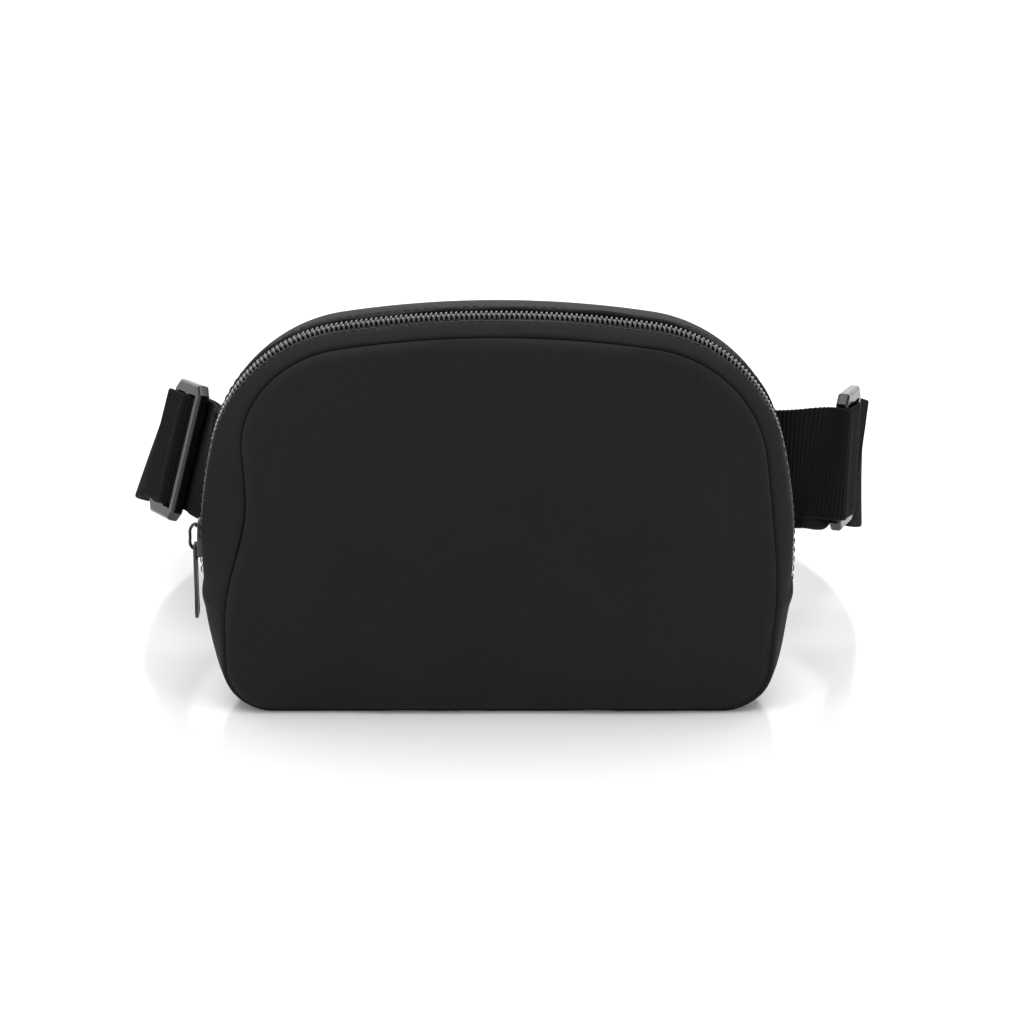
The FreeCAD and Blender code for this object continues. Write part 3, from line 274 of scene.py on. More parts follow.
def splineThrough(points, step):
    # A smooth line through the points: Catmull-Rom by chord length, sampled about every step.
    points = np.asarray(points, float)
    gaps = np.linalg.norm(np.diff(points[:, :3], axis=0), axis=1)
    knots = np.r_[0, np.cumsum(np.sqrt(gaps * gaps.mean()) * 0.5 + gaps * 0.5)]
    slope = np.zeros_like(points)
    for i in range(1, len(points) - 1):
        before = (points[i] - points[i - 1]) / (knots[i] - knots[i - 1])
        after = (points[i + 1] - points[i]) / (knots[i + 1] - knots[i])
        share = (knots[i + 1] - knots[i]) / (knots[i + 1] - knots[i - 1])
        slope[i] = before * share + after * (1 - share)
    slope[0] = (points[1] - points[0]) / (knots[1] - knots[0])
    slope[-1] = (points[-1] - points[-2]) / (knots[-1] - knots[-2])
    fine = []
    for i in range(len(points) - 1):
        width = knots[i + 1] - knots[i]
        count = max(2, int(math.ceil(gaps[i] / step)))
        t = np.linspace(0, 1, count, endpoint=(i == len(points) - 2))[:, None]
        fine.append(
            (2 * t ** 3 - 3 * t ** 2 + 1) * points[i] + (t ** 3 - 2 * t ** 2 + t) * width * slope[i]
            + (3 * t ** 2 - 2 * t ** 3) * points[i + 1] + (t ** 3 - t ** 2) * width * slope[i + 1]
        )
    return np.concatenate(fine)


bagShape = {
    # the outline at the zip, seen from the front, in millimetres
    "halfWidth": 92.0, "height": 125.0, "waistHeight": 50.0, "sideRadius": 150.0,
    "shoulderRadius": 48.0, "crownRadius": 320.0, "footRadius": 19.0,
    # depth of each seam behind the middle of the base, and how far each is drawn in
    "frontSeam": -29.0, "frontInset": 3.2, "backSeam": 30.0, "backInset": 10.2,
    # the front seam is pulled in further half way up each side, more on the left where the slider hangs
    "pinchLeft": 9.6, "pinchRight": 2.6, "pinchHeight": 66.0, "pinchReach": 29.0,
    "zipLine": -15.0, "zipFront": -21.0, "zipRear": -9.0, "lean": math.radians(1.0),
    "gussetHeight": 41.0, "gussetFrontHeight": 37.5,
}


def outlineTable(shape):
    # The outline by arc length from the middle of the base, right side first: base line, foot, side,
    # shoulder and crown arcs, then the same mirrored. Returns shares of the length, points and normals.
    side = np.array([shape["halfWidth"] - shape["sideRadius"], shape["waistHeight"]])
    crown = np.array([0.0, shape["height"] - shape["crownRadius"]])
    sideReach = shape["sideRadius"] - shape["shoulderRadius"]
    crownReach = shape["crownRadius"] - shape["shoulderRadius"]
    apart = crown - side
    gap = np.linalg.norm(apart)
    along = (sideReach ** 2 - crownReach ** 2 + gap ** 2) / (2 * gap)
    aside = math.sqrt(sideReach ** 2 - along ** 2)
    shoulder = side + apart * along / gap + np.array([-apart[1], apart[0]]) * aside / gap
    footDrop = shape["footRadius"] - shape["waistHeight"]
    footReach = math.sqrt((shape["sideRadius"] - shape["footRadius"]) ** 2 - footDrop ** 2)
    foot = np.array([side[0] + footReach, shape["footRadius"]])

    def angle(start, end):
        return math.atan2(end[1] - start[1], end[0] - start[0])

    low, high, top = angle(side, foot), angle(side, shoulder), angle(crown, shoulder)
    arcs = [
        (foot, shape["footRadius"], -math.pi / 2, low), (side, shape["sideRadius"], low, high),
        (shoulder, shape["shoulderRadius"], high, top), (crown, shape["crownRadius"], top, math.pi / 2),
    ]
    points = [np.stack([np.linspace(0, foot[0], 400), np.zeros(400)], 1)]
    normals = [np.tile([0.0, -1.0], (400, 1))]
    for centre, radius, start, end in arcs:
        turn = np.linspace(start, end, 700)
        unit = np.stack([np.cos(turn), np.sin(turn)], 1)
        points.append(centre + radius * unit)
        normals.append(unit)
    points, normals = np.concatenate(points), np.concatenate(normals)
    mirror = np.array([-1.0, 1.0])
    points = np.concatenate([points, points[::-1] * mirror])
    normals = np.concatenate([normals, normals[::-1] * mirror])
    steps = np.r_[0, np.cumsum(np.linalg.norm(np.diff(points, axis=0), axis=1))]
    return steps / steps[-1], points, normals, steps[-1]


outlineShare, outlinePoints, outlineNormals, outlineLength = outlineTable(bagShape)


def outlineAt(share):
    # Point and outward normal of the outline, both as (x, z), at a share of its length.
    share = np.mod(share, 1.0)
    point = np.stack([np.interp(share, outlineShare, outlinePoints[:, i]) for i in (0, 1)], -1)
    normal = np.stack([np.interp(share, outlineShare, outlineNormals[:, i]) for i in (0, 1)], -1)
    return point, normal / np.linalg.norm(normal, axis=-1, keepdims=True)


def shareAtHeight(height):
    # Share of the outline, on the right side, at a height above the foot corner.
    half = len(outlineShare) // 2
    return np.interp(height, outlinePoints[400:half, 1], outlineShare[400:half])


def seamInset(point):
    # How far the front seam lies inside the outline at a point (x, z): frontInset, less near the
    # base, plus a bell-shaped pinch at pinchHeight.
    s = bagShape
    pinch = s["pinchRight"] + (s["pinchLeft"] - s["pinchRight"]) * smoothStep(-point[..., 0], -20, 20)
    bell = np.exp(-(((point[..., 1] - s["pinchHeight"]) / s["pinchReach"]) ** 2))
    beside = smoothStep(np.abs(point[..., 0]), 50, 80)
    return s["frontInset"] * (0.15 + 0.85 * smoothStep(point[..., 1], 2, 26)) + pinch * bell * beside


def drawnIn(depth, point):
    # How far the wall is drawn in at a depth: nothing at the zip, most at the two seams.
    s = bagShape
    forward = np.clip((s["zipFront"] - depth) / (s["zipFront"] - s["frontSeam"]), 0, 1.2)
    behind = np.clip((depth - s["zipRear"]) / (s["backSeam"] - s["zipRear"]), 0, 1.2)
    return seamInset(point) * forward ** 1.35 + s["backInset"] * behind ** 1.35


def wallPoint(share, depth, proud):
    # A point of the wall: the outline at share, moved along its normal by proud less the draw-in,
    # at the depth, leaning back near the front. Near the base the wall keeps to the ground.
    point, normal = outlineAt(share)
    sides = smoothStep(normal[..., 1], -0.995, -0.55)
    offset = np.where(proud > 0, proud * sides, proud) - drawnIn(depth, point) * sides
    placed = point + normal * offset[..., None]
    nearFront = 1 - smoothStep(depth, bagShape["frontSeam"], bagShape["zipFront"])
    leaned = depth + math.tan(bagShape["lean"]) * placed[..., 1] * nearFront
    return np.stack([placed[..., 0], leaned, np.maximum(placed[..., 1], 0.05)], -1)


def wallStrip(
    name, profile, start, end, samples, seed, wrinkle, nodes, material=None, thickness=0.7
):
    # A strip of wall: profile is (depth, proud) points from front to back, carried round the outline
    # from share start(depth) to share end(depth).
    depths = np.array([p[0] for p in profile])
    prouds = np.array([p[1] for p in profile])
    u = np.linspace(0, 1, samples)
    first = np.array([start(d) for d in depths])
    last = np.array([end(d) for d in depths])
    share = first[:, None] + (last - first)[:, None] * u[None, :]
    depth = np.repeat(depths[:, None], samples, 1)
    proud = np.repeat(prouds[:, None], samples, 1)
    base = wallPoint(share, depth, proud)
    flat = np.clip(1 - np.abs(proud) / 0.9, 0, 1)  # the seam edges stay put
    proud = proud + flat * (ripples(base, 34, wrinkle, seed) + ripples(base, 11, wrinkle * 0.3, seed + 1))
    points = wallPoint(share, depth, proud)
    travel = np.r_[0, np.cumsum(np.hypot(np.diff(depths), np.diff(prouds)))] * mm
    uv = np.stack([share * outlineLength * mm, np.repeat(travel[:, None], samples, 1)], -1)
    piece = makePiece(
        name, points, gridQuads(len(profile), samples, flip=True), material or polyester, uv,
        nodes=nodes
    )
    return thicken(piece, thickness)


def gussetEdge(depth):
    # Share of the outline where the base gusset ends on the right: its seam dips towards the front.
    s = bagShape
    dip = smoothStep(depth, s["frontSeam"], s["zipLine"])
    return shareAtHeight(s["gussetFrontHeight"] + (s["gussetHeight"] - s["gussetFrontHeight"]) * dip)


def evenly(first, last, count):
    return [(d, 0.0) for d in np.linspace(first, last, count)]


# Folded and seamed edges: a sheet rolls into each seam, and turns under itself beside the zip.
seamRoll = [(2.2, -3.2), (1.1, -2.6), (0.45, -1.9), (0.1, -1.2), (0.0, -0.6), (0.25, -0.2), (0.7, -0.03)]
zipFold = [(1.0, 0.0), (0.45, -0.05), (0.12, -0.28), (0.0, -0.62), (0.16, -0.98), (0.6, -1.2), (4.0, -1.45)]
frontFold = [
    (1.0, -0.36), (0.45, -0.42), (0.12, -0.65), (0.0, -0.95), (0.16, -1.25), (0.6, -1.42), (4.0, -1.55)
]


def frontBandProfile():
    # the band sinks towards the zip, so that the teeth stand clear of it
    s = bagShape
    seam = [(s["frontSeam"] + d, p) for d, p in seamRoll]
    fold = [(s["zipFront"] - d, p) for d, p in frontFold]
    depths = np.linspace(s["frontSeam"] + 1.8, s["zipFront"] - 1.7, 7)
    middle = [(d, -0.35 * smoothStep(d, s["frontSeam"] + 2.5, s["zipFront"] - 1.2)) for d in depths]
    return seam + middle + fold


def rearBandProfile():
    s = bagShape
    fold = [(s["zipRear"] + d, p) for d, p in zipFold][::-1]
    seam = [(s["backSeam"] - d, p) for d, p in seamRoll][::-1]
    return fold + evenly(s["zipRear"] + 1.7, s["backSeam"] - 1.8, 22) + seam


def crown(profile, amount):
    # Bulges a profile outwards between its edges by a half sine.
    depths = np.array([p[0] for p in profile])
    share = (depths - depths.min()) / (depths.max() - depths.min())
    return [(d, p + amount * math.sin(math.pi * q) ** 0.8 * (p > -0.5)) for (d, p), q in zip(profile, share)]


underlap = 2.5 / outlineLength
wallStrip(
    "frontZipBand", crown(frontBandProfile(), 0.5), lambda d: gussetEdge(d) - underlap,
    lambda d: 1 - gussetEdge(d) + underlap, 620, 11, 0.28, ["zip_band_front"],
)
wallStrip(
    "rearZipBand", crown(rearBandProfile(), 1.4), lambda d: gussetEdge(d) - underlap,
    lambda d: 1 - gussetEdge(d) + underlap, 620, 23, 0.4, ["zip_band_rear"],
)


def gussetProfile():
    s = bagShape
    front = [(s["frontSeam"] + d, p) for d, p in seamRoll]
    back = [(s["backSeam"] - d, p) for d, p in seamRoll][::-1]
    return front + evenly(s["frontSeam"] + 1.8, s["backSeam"] - 1.8, 30) + back


def baseGusset():
    # The base strip: the wall surface from one gusset seam under the bag to the other. Each end rolls in.
    profile = gussetProfile()
    depths = np.array([p[0] for p in profile])
    prouds = np.array([p[1] for p in profile])
    inner = np.linspace(-1, 1, 420)
    edge = np.array([gussetEdge(d) for d in depths])
    rollBack = np.array([-0.35, 0.15, 0.0, -0.18, -0.5, -1.0]) / outlineLength * 2.0
    rollIn = np.array([-1.9, -1.0, -0.4, 0.1, 0.4, 0.6])
    shares, offsets = [], []
    for e in edge:
        ends = e + rollBack
        middle = inner * (ends[-1] - 0.6 / outlineLength)
        shares.append(np.r_[-ends, middle, ends[::-1]])
        lift = 0.25 + 0.45 * smoothStep(np.abs(inner), 0.955, 0.992)
        offsets.append(np.r_[rollIn, lift, rollIn[::-1]])
    share, lip = np.array(shares), np.array(offsets)
    depth = np.repeat(depths[:, None], share.shape[1], 1)
    proud = np.repeat(prouds[:, None], share.shape[1], 1)
    base = wallPoint(share, depth, proud)
    flat = np.clip(1 - np.abs(proud) / 0.9, 0, 1)
    proud = proud + lip * flat + flat * ripples(base, 30, 0.3, 31) * (lip > 0)
    points = wallPoint(share, depth, proud)
    travel = np.r_[0, np.cumsum(np.hypot(np.diff(depths), np.diff(prouds)))] * mm
    uv = np.stack([share * outlineLength * mm, np.repeat(travel[:, None], share.shape[1], 1)], -1)
    piece = makePiece(
        "baseGusset", points, gridQuads(len(profile), share.shape[1], flip=True), polyester, uv,
        nodes=["base_gusset"],
    )
    return thicken(piece, 0.7)


baseGusset()
print("walls ready")

frontPanelShape = {
    # (drawn in from the seam outline, depth ahead of the seam), rim first; then the dome to the middle
    "rim": [
        (3.4, -1.6), (2.6, -1.3), (1.7, -0.8), (1.35, -0.2), (1.2, 0.4), (1.35, 1.1), (1.9, 1.8), (2.8, 2.45),
        (4.2, 3.0),
    ],
    "domeStart": 3.0, "domeTop": 6.4, "domeReach": 28.0,
}


def panel(
    name, rim, domeStart, domeTop, domeReach, seam, inset, ahead, seed, wrinkle, nodes, rings=46, around=900
):
    # A domed sheet: rim points round the seam outline, then rings shrinking to the middle, each ahead of
    # the seam by domeStart + (domeTop - domeStart) * (1 - exp(-distance from the rim / domeReach)).
    share = np.linspace(0, 1, around, endpoint=False)
    point, normal = outlineAt(share)
    sides = smoothStep(normal[:, 1], -0.995, -0.55)
    seamLine = point - normal * (inset(point) * sides)[:, None]
    rows = []
    for drawn, out in rim:
        ring = seamLine - normal * drawn
        rows.append(np.stack([ring[:, 0], seam - ahead * out + 0 * share, ring[:, 1]], 1))
    edge = seamLine - normal * rim[-1][0]
    middle = np.array([0.0, bagShape["height"] * 0.46])
    shrink = np.linspace(0, 1, rings) ** 1.15
    for q in shrink[1:]:
        ring = edge + (middle - edge) * q
        travel = np.linalg.norm(ring - edge, axis=1)
        out = domeStart + (domeTop - domeStart) * (1 - np.exp(-travel / domeReach))
        rows.append(np.stack([ring[:, 0], seam - ahead * out, ring[:, 1]], 1))
    points = np.array(rows)
    if ahead > 0:
        points[..., 1] += math.tan(bagShape["lean"]) * points[..., 2]
    inside = np.zeros(len(points))
    inside[len(rim) - 3:] = 1
    fade = inside[:, None] * np.ones(around)
    sway = ripples(points, 55, wrinkle, seed) + ripples(points, 17, wrinkle * 0.22, seed + 5)
    points[..., 1] -= ahead * fade * sway
    points[-1] = points[-1].mean(0)
    points[..., 2] = np.maximum(points[..., 2], 0.05)
    uv = np.stack([points[..., 0], points[..., 2]], -1) * mm
    faces = gridQuads(len(points), around, closeColumns=True, flip=(ahead < 0))
    piece = makePiece(name, points, faces, polyester, uv, nodes=nodes)
    work = bmesh.new()
    work.from_mesh(piece.data)
    bmesh.ops.remove_doubles(work, verts=work.verts, dist=1e-6)
    work.to_mesh(piece.data)
    work.free()
    return thicken(piece, 0.7)


panel(
    "frontPanel", frontPanelShape["rim"], frontPanelShape["domeStart"], frontPanelShape["domeTop"],
    frontPanelShape["domeReach"], bagShape["frontSeam"], seamInset, 1, 41, 0.5, ["front_panel"],
)
panel(
    "backPanel", [(2.9, -1.1), (2.1, -0.5), (1.15, 0.05), (0.72, 0.4), (0.7, 0.8), (1.2, 1.15), (2.4, 1.4)],
    1.4, 2.2, 30.0,
    bagShape["backSeam"], lambda point: bagShape["backInset"], -1, 51, 0.25, ["back_panel"],
)


def innerStrip(name, depths, under, start, end, thickness, material, nodes):
    # A hidden layer of wall lying under the outer cloth.
    profile = [(d, -under) for d in depths]
    return wallStrip(name, profile, start, end, 300, 5, 0.0, nodes, material, thickness)


foamFront = panel(
    "frontFoam", [(5.6, 2.1)], 2.1, 5.3, 28.0, bagShape["frontSeam"], seamInset, 1, 41, 0.35,
    ["front_foam"], 30, 300
)
foamBack = panel(
    "backFoam", [(4.2, 0.45)], 0.45, 1.1, 30.0, bagShape["backSeam"], lambda point: bagShape["backInset"],
    -1, 51, 0.25,
    ["back_foam"], 30, 300,
)
liningFront = panel(
    "frontLining", [(6.0, -0.9)], -0.9, 2.3, 28.0, bagShape["frontSeam"], seamInset, 1, 43, 0.3,
    ["front_lining"], 30, 300
)
liningBack = panel(
    "backLining", [(4.6, -2.5)], -2.5, -1.9, 30.0, bagShape["backSeam"],
    lambda point: bagShape["backInset"], -1, 53, 0.2,
    ["back_lining"], 30, 300,
)
for piece, thickness, material, slot in (
    (foamFront, 2.6, foam, "foam_sheet"), (foamBack, 2.6, foam, "foam_sheet"),
    (liningFront, 0.4, liningTaffeta, "lining_cloth"), (liningBack, 0.4, liningTaffeta, "lining_cloth"),
):
    piece.modifiers["thickness"].thickness = thickness * mm
    piece.data.materials[0] = material
innerStrip(
    "baseLining", np.linspace(-25.5, 25.5, 14), 1.5, lambda d: -gussetEdge(d), gussetEdge, 0.4, liningTaffeta,
    ["base_lining"],
)
innerStrip(
    "rearBandLining", np.linspace(-5.5, 25.5, 9), 1.5, lambda d: gussetEdge(d) + underlap,
    lambda d: 1 - gussetEdge(d) - underlap, 0.4, liningTaffeta, ["rear_band_lining"],
)
innerStrip(
    "seamBindingFront", np.linspace(-27.6, -25.4, 3), 2.3, lambda d: 0.0005, lambda d: 0.9995, 0.7, tapeTwill,
    ["seam_binding_front"],
)
innerStrip(
    "seamBindingBack", np.linspace(26.2, 28.2, 3), 2.3, lambda d: 0.0005, lambda d: 0.9995, 0.7, tapeTwill,
    ["seam_binding_back"],
)
print("panels ready")

zipShape = {"pitch": 1.53, "tapeDepth": 2.2, "lowEnd": 43.8, "toothLift": 0.28, "stitch": 3.75}


def tape(name, first, last, seed, nodes):
    # One zip tape: flat cloth between the hidden edge under the band and the coil, slightly sprung up.
    low = shareAtHeight(bagShape["gussetHeight"] - 1.0)
    depths = np.linspace(first, last, 14)
    profile = [(d, -zipShape["tapeDepth"] + 0.25 * math.sin(math.pi * i / 13)) for i, d in enumerate(depths)]
    samples = 520
    share = np.repeat(np.linspace(low, 1 - low, samples)[None, :], 14, 0)
    depth = np.array([p[0] for p in profile])[:, None] * np.ones(samples)
    proud = np.array([p[1] for p in profile])[:, None] * np.ones(samples)
    points = wallPoint(share, depth, proud)
    uv = np.stack([share * outlineLength * mm, depth * mm], -1)
    piece = makePiece(
        name, points, gridQuads(14, samples, flip=True), tapeTwill, uv, nodes=nodes
    )
    return thicken(piece, 0.45)


tape("zipTapeFront", -24.6, -15.25, 61, ["zip_tape_front"])
tape("zipTapeRear", -14.75, -5.2, 62, ["zip_tape_rear"])


def tubeAlong(path, radius, sides=8):
    # A closed tube: rings of radius round each path point, square to the path, with pinched ends.
    path = np.asarray(path, float)
    radius = np.broadcast_to(np.asarray(radius, float), (len(path),))
    way = np.gradient(path, axis=0)
    way /= np.linalg.norm(way, axis=1, keepdims=True)
    helper = np.array([1.0, 0.0, 0.0])
    one = np.cross(way, helper)
    one /= np.linalg.norm(one, axis=1, keepdims=True)
    two = np.cross(way, one)
    turn = np.linspace(0, 2 * math.pi, sides, endpoint=False)
    rings = path[:, None, :] + radius[:, None, None] * (
        np.cos(turn)[None, :, None] * one[:, None, :] + np.sin(turn)[None, :, None] * two[:, None, :]
    )
    points = np.concatenate([path[:1], rings.reshape(-1, 3), path[-1:]])
    quads = gridQuads(len(path), sides, closeColumns=True) + 1
    turnTo = (np.arange(sides) + 1) % sides
    startCap = np.stack([np.zeros(sides, int), 1 + turnTo, 1 + np.arange(sides)], 1)
    lastRing = 1 + (len(path) - 1) * sides
    endCap = np.stack([np.full(sides, len(points) - 1), lastRing + np.arange(sides), lastRing + turnTo], 1)
    return points, [list(q) for q in quads] + [list(t) for t in startCap] + [list(t) for t in endCap]


def alongOutline(template, faces, shares, depth, proud, mirrorDepth=False):
    # Copies a small template (along, depth, proud) to every share of the outline.
    point, normal = outlineAt(shares)
    along = np.stack([-normal[:, 1], normal[:, 0]], -1)
    a, b, c = template[:, 0], template[:, 1], template[:, 2]
    if mirrorDepth:
        b = -b
    lift = c[None, :] + proud
    x = point[:, 0, None] + along[:, 0, None] * a + normal[:, 0, None] * lift
    z = point[:, 1, None] + along[:, 1, None] * a + normal[:, 1, None] * lift
    y = np.broadcast_to(depth + b, x.shape)
    points = np.stack([x, y, z], -1)
    allFaces = []
    for i in range(len(shares)):
        start = i * len(template)
        allFaces += [[start + k for k in (f[::-1] if mirrorDepth else f)] for f in faces]
    return points.reshape(-1, 3), allFaces


def coilRow(name, side, nodes):
    # One row of coil teeth: each tooth is a loop of nylon wire from the tape, over and round at the middle.
    loop = np.array([
        (-0.30, 3.05, -2.2), (-0.28, 3.30, -1.55), (-0.22, 3.12, -0.85), (-0.12, 2.55, -0.48),
        (0.0, 1.7, -0.38), (0.08, 0.85, -0.38), (0.13, 0.15, -0.52), (0.14, -0.28, -0.85),
        (0.14, -0.40, -1.3), (0.12, -0.1, -1.75),
    ])
    loop[:, 2] += zipShape["toothLift"]
    wire = np.array([0.30, 0.35, 0.39, 0.40, 0.40, 0.40, 0.41, 0.41, 0.38, 0.33])
    template, faces = tubeAlong(loop, wire)
    low = shareAtHeight(zipShape["lowEnd"])
    count = int((1 - 2 * low) * outlineLength / zipShape["pitch"])
    shares = low + (np.arange(count) + (0.25 if side > 0 else 0.75)) * zipShape["pitch"] / outlineLength
    points, allFaces = alongOutline(template, faces, shares, bagShape["zipLine"], 0.0, mirrorDepth=(side < 0))
    return makePiece(name, points, allFaces, coilNylon, nodes=nodes)


coilRow("zipCoilRear", 1, ["zip_coil_rear"])
coilRow("zipCoilFront", -1, ["zip_coil_front"])


def stitchRow(name, depth, proud, pitch, length, wire, lowHeight):
    # A row of lockstitches along the zip: short bowed threads that dip into the cloth at both ends.
    q = np.linspace(-1, 1, 7)
    path = np.stack([q * length / 2, 0 * q, wire * (0.9 - 1.6 * q ** 4)], 1)
    path[:, 1] += 1e-4
    turned = path[:, [1, 0, 2]]
    template, faces = tubeAlong(turned, np.array([0.5, 0.85, 1, 1, 1, 0.85, 0.5]) * wire, 6)
    template = template[:, [1, 0, 2]]
    faces = [f[::-1] for f in faces]
    low = shareAtHeight(lowHeight)
    count = int((1 - 2 * low) * outlineLength / pitch)
    shares = low + (np.arange(count) + 0.5) * pitch / outlineLength
    points, allFaces = alongOutline(template, faces, shares, depth, proud)
    return makePiece(name, points, allFaces, thread)


for name, side in (("coilStitchRear", 1), ("coilStitchFront", -1)):
    stitchDepth = bagShape["zipLine"] + side * zipShape["stitch"]
    stitchRow(name, stitchDepth, -2.15, zipShape["pitch"], 1.1, 0.17, 44.0)
stitchRow("bandStitchRear", bagShape["zipRear"] + 1.9, 0.10, 3.0, 2.3, 0.19, 43.0)
stitchRow("bandStitchFront", bagShape["zipFront"] - 1.7, -0.28, 3.0, 2.3, 0.19, 41.0)


sliderShape = {
    # its own frame: out from the bag, through the bag's depth, up along the zip; millimetres
    "height": 53.0, "length": 12.0, "wide": 8.6, "narrow": 6.2, "plateIn": 0.15, "plateOut": 1.35,
    "underIn": -3.25, "underOut": -4.45, "hookOut": 3.75, "hookHalf": 4.3, "wire": 0.5, "wireWide": 1.0,
    "pullWide": 5.0, "pullTip": 6.4, "pullLength": 24.0, "pullHalf": 0.5, "eyeWide": 3.0,
    "eyeLong": 4.4,
}
sliderTurn = math.asin((sliderShape["height"] - bagShape["waistHeight"]) / bagShape["sideRadius"])
sliderOrigin = np.array([
    bagShape["sideRadius"] * (1 - math.cos(sliderTurn)) - bagShape["halfWidth"], bagShape["zipLine"],
    sliderShape["height"],
])
sliderOut = np.array([-math.cos(sliderTurn), 0.0, math.sin(sliderTurn)])
sliderUp = np.array([math.sin(sliderTurn), 0.0, math.cos(sliderTurn)])


def onSlider(out, depth, up):
    # Points of the slider's own frame in the bag's frame.
    across = np.array([0.0, 1.0, 0.0])
    out, depth, up = (np.asarray(v, float)[..., None] for v in (out, depth, up))
    return sliderOrigin + out * sliderOut + depth * across + up * sliderUp


def roundedOutline(points, radius, steps=5):
    # A closed outline with every corner rounded by a quadratic curve of about that radius.
    points = np.asarray(points, float)
    rounded = []
    for before, corner, after in zip(np.roll(points, 1, 0), points, np.roll(points, -1, 0)):
        reachIn = min(radius, 0.45 * np.linalg.norm(before - corner))
        reachOut = min(radius, 0.45 * np.linalg.norm(after - corner))
        start = corner + (before - corner) / np.linalg.norm(before - corner) * reachIn
        finish = corner + (after - corner) / np.linalg.norm(after - corner) * reachOut
        for t in np.linspace(0, 1, steps):
            rounded.append((1 - t) ** 2 * start + 2 * t * (1 - t) * corner + t ** 2 * finish)
    return np.array(rounded)


def mergeDoubles(piece):
    # Joins points that lie on each other, as at a pole.
    work = bmesh.new()
    work.from_mesh(piece.data)
    bmesh.ops.remove_doubles(work, verts=work.verts, dist=1e-6)
    bmesh.ops.recalc_face_normals(work, faces=work.faces)
    work.to_mesh(piece.data)
    work.free()
    return piece


def cushionPlate(outline, low, high, edge):
    # A plate over a closed outline: rows of (share of the outline, height), with rounded rims.
    middle = outline.mean(0)
    reach = np.linalg.norm(outline - middle, axis=1).mean()
    rows = []
    turn = np.linspace(0, math.pi / 2, 5)
    for share in (0.0, 0.5):
        rows.append((share, high))
    for t in turn[::-1]:
        rows.append((1 - edge * (1 - math.cos(t)) / reach, high - edge * (1 - math.sin(t))))
    for t in turn:
        rows.append((1 - edge * (1 - math.cos(t)) / reach, low + edge * (1 - math.sin(t))))
    for share in (0.5, 0.0):
        rows.append((share, low))
    flat = np.array([middle + (outline - middle) * share for share, height in rows])
    heights = np.array([height for share, height in rows])[:, None] * np.ones(len(outline))
    return flat, heights


def sliderPlate(name, low, high, nodes):
    s = sliderShape
    wide, narrow, end = s["wide"] / 2, s["narrow"] / 2, s["length"] / 2
    corners = [
        (-wide * 0.75, -end), (wide * 0.75, -end), (wide, -end + 1.4), (wide, 1.5), (narrow, end - 2.0),
        (narrow * 0.7, end), (-narrow * 0.7, end), (-narrow, end - 2.0), (-wide, 1.5), (-wide, -end + 1.4),
    ]
    flat, heights = cushionPlate(roundedOutline(corners, 1.3), low, high, 0.45)
    points = onSlider(heights, flat[..., 0], flat[..., 1])
    faces = gridQuads(len(points), points.shape[1], closeColumns=True)
    return mergeDoubles(makePiece(name, points, faces, zinc, body="slider", nodes=nodes))


def flatWire(name, path, wide, thick, place, body, nodes=()):
    # A wire of oval section along a path (out, up) in the slider's middle plane.
    path = np.asarray(path, float)
    way = np.gradient(path, axis=0)
    way /= np.linalg.norm(way, axis=1, keepdims=True)
    side = np.stack([-way[:, 1], way[:, 0]], 1)
    turn = np.linspace(0, 2 * math.pi, 14, endpoint=False)
    taper = np.ones(len(path))
    taper[0] = taper[-1] = 0.35
    out = path[:, 0, None] + side[:, 0, None] * np.cos(turn) * thick * taper[:, None]
    up = path[:, 1, None] + side[:, 1, None] * np.cos(turn) * thick * taper[:, None]
    depth = np.sin(turn)[None, :] * wide * taper[:, None]
    points = place(out, depth, up)
    faces = [list(q) for q in gridQuads(len(path), 14, closeColumns=True)]
    faces += [list(range(14))[::-1], [(len(path) - 1) * 14 + i for i in range(14)]]
    return mergeDoubles(makePiece(name, points, faces, zinc, body=body, nodes=nodes))


def hookPath():
    # A C: out from the plate near the mouths, up with a bow, and back to a free end by the tail.
    s = sliderShape
    far, half = s["hookOut"], s["hookHalf"]
    corners = [
        (s["plateOut"] - 0.5, -half + 0.5), (far - 1.2, -half + 0.3), (far, -half + 1.6), (far + 0.1, 0.0),
        (far, half - 1.8), (far - 1.0, half - 0.3), (s["plateOut"] + 0.75, half - 0.1),
        (s["plateOut"] + 0.35, half - 1.2),
    ]
    return splineThrough(corners, 0.35)


sliderPlate("sliderTop", sliderShape["plateIn"], sliderShape["plateOut"], ["zip_slider"])
sliderPlate("sliderUnder", sliderShape["underOut"], sliderShape["underIn"], [])
flatWire("sliderHook", hookPath(), sliderShape["wireWide"], sliderShape["wire"], onSlider, "slider")


def sliderSides():
    # The two folded edges that join the plates round the teeth, and the wedge between the rows.
    s = sliderShape
    for name, depth, halfDepth, low, high, top, foot in (
        ("sliderEdgeFront", -3.93, 0.38, -5.2, 1.2, 0.8, -1.5),
        ("sliderEdgeRear", 3.93, 0.38, -5.2, 1.2, 0.8, -1.5),
        ("sliderWedge", 0.0, 0.34, -4.9, -2.2, 0.8, -3.7),
    ):
        corners = [
            (depth - halfDepth, low), (depth + halfDepth, low), (depth + halfDepth, high),
            (depth - halfDepth, high)
        ]
        flat, heights = cushionPlate(roundedOutline(corners, 0.3), foot, top, 0.15)
        points = onSlider(heights, flat[..., 0], flat[..., 1])
        faces = gridQuads(len(points), points.shape[1], closeColumns=True)
        mergeDoubles(makePiece(name, points, faces, zinc, body="slider"))


sliderSides()


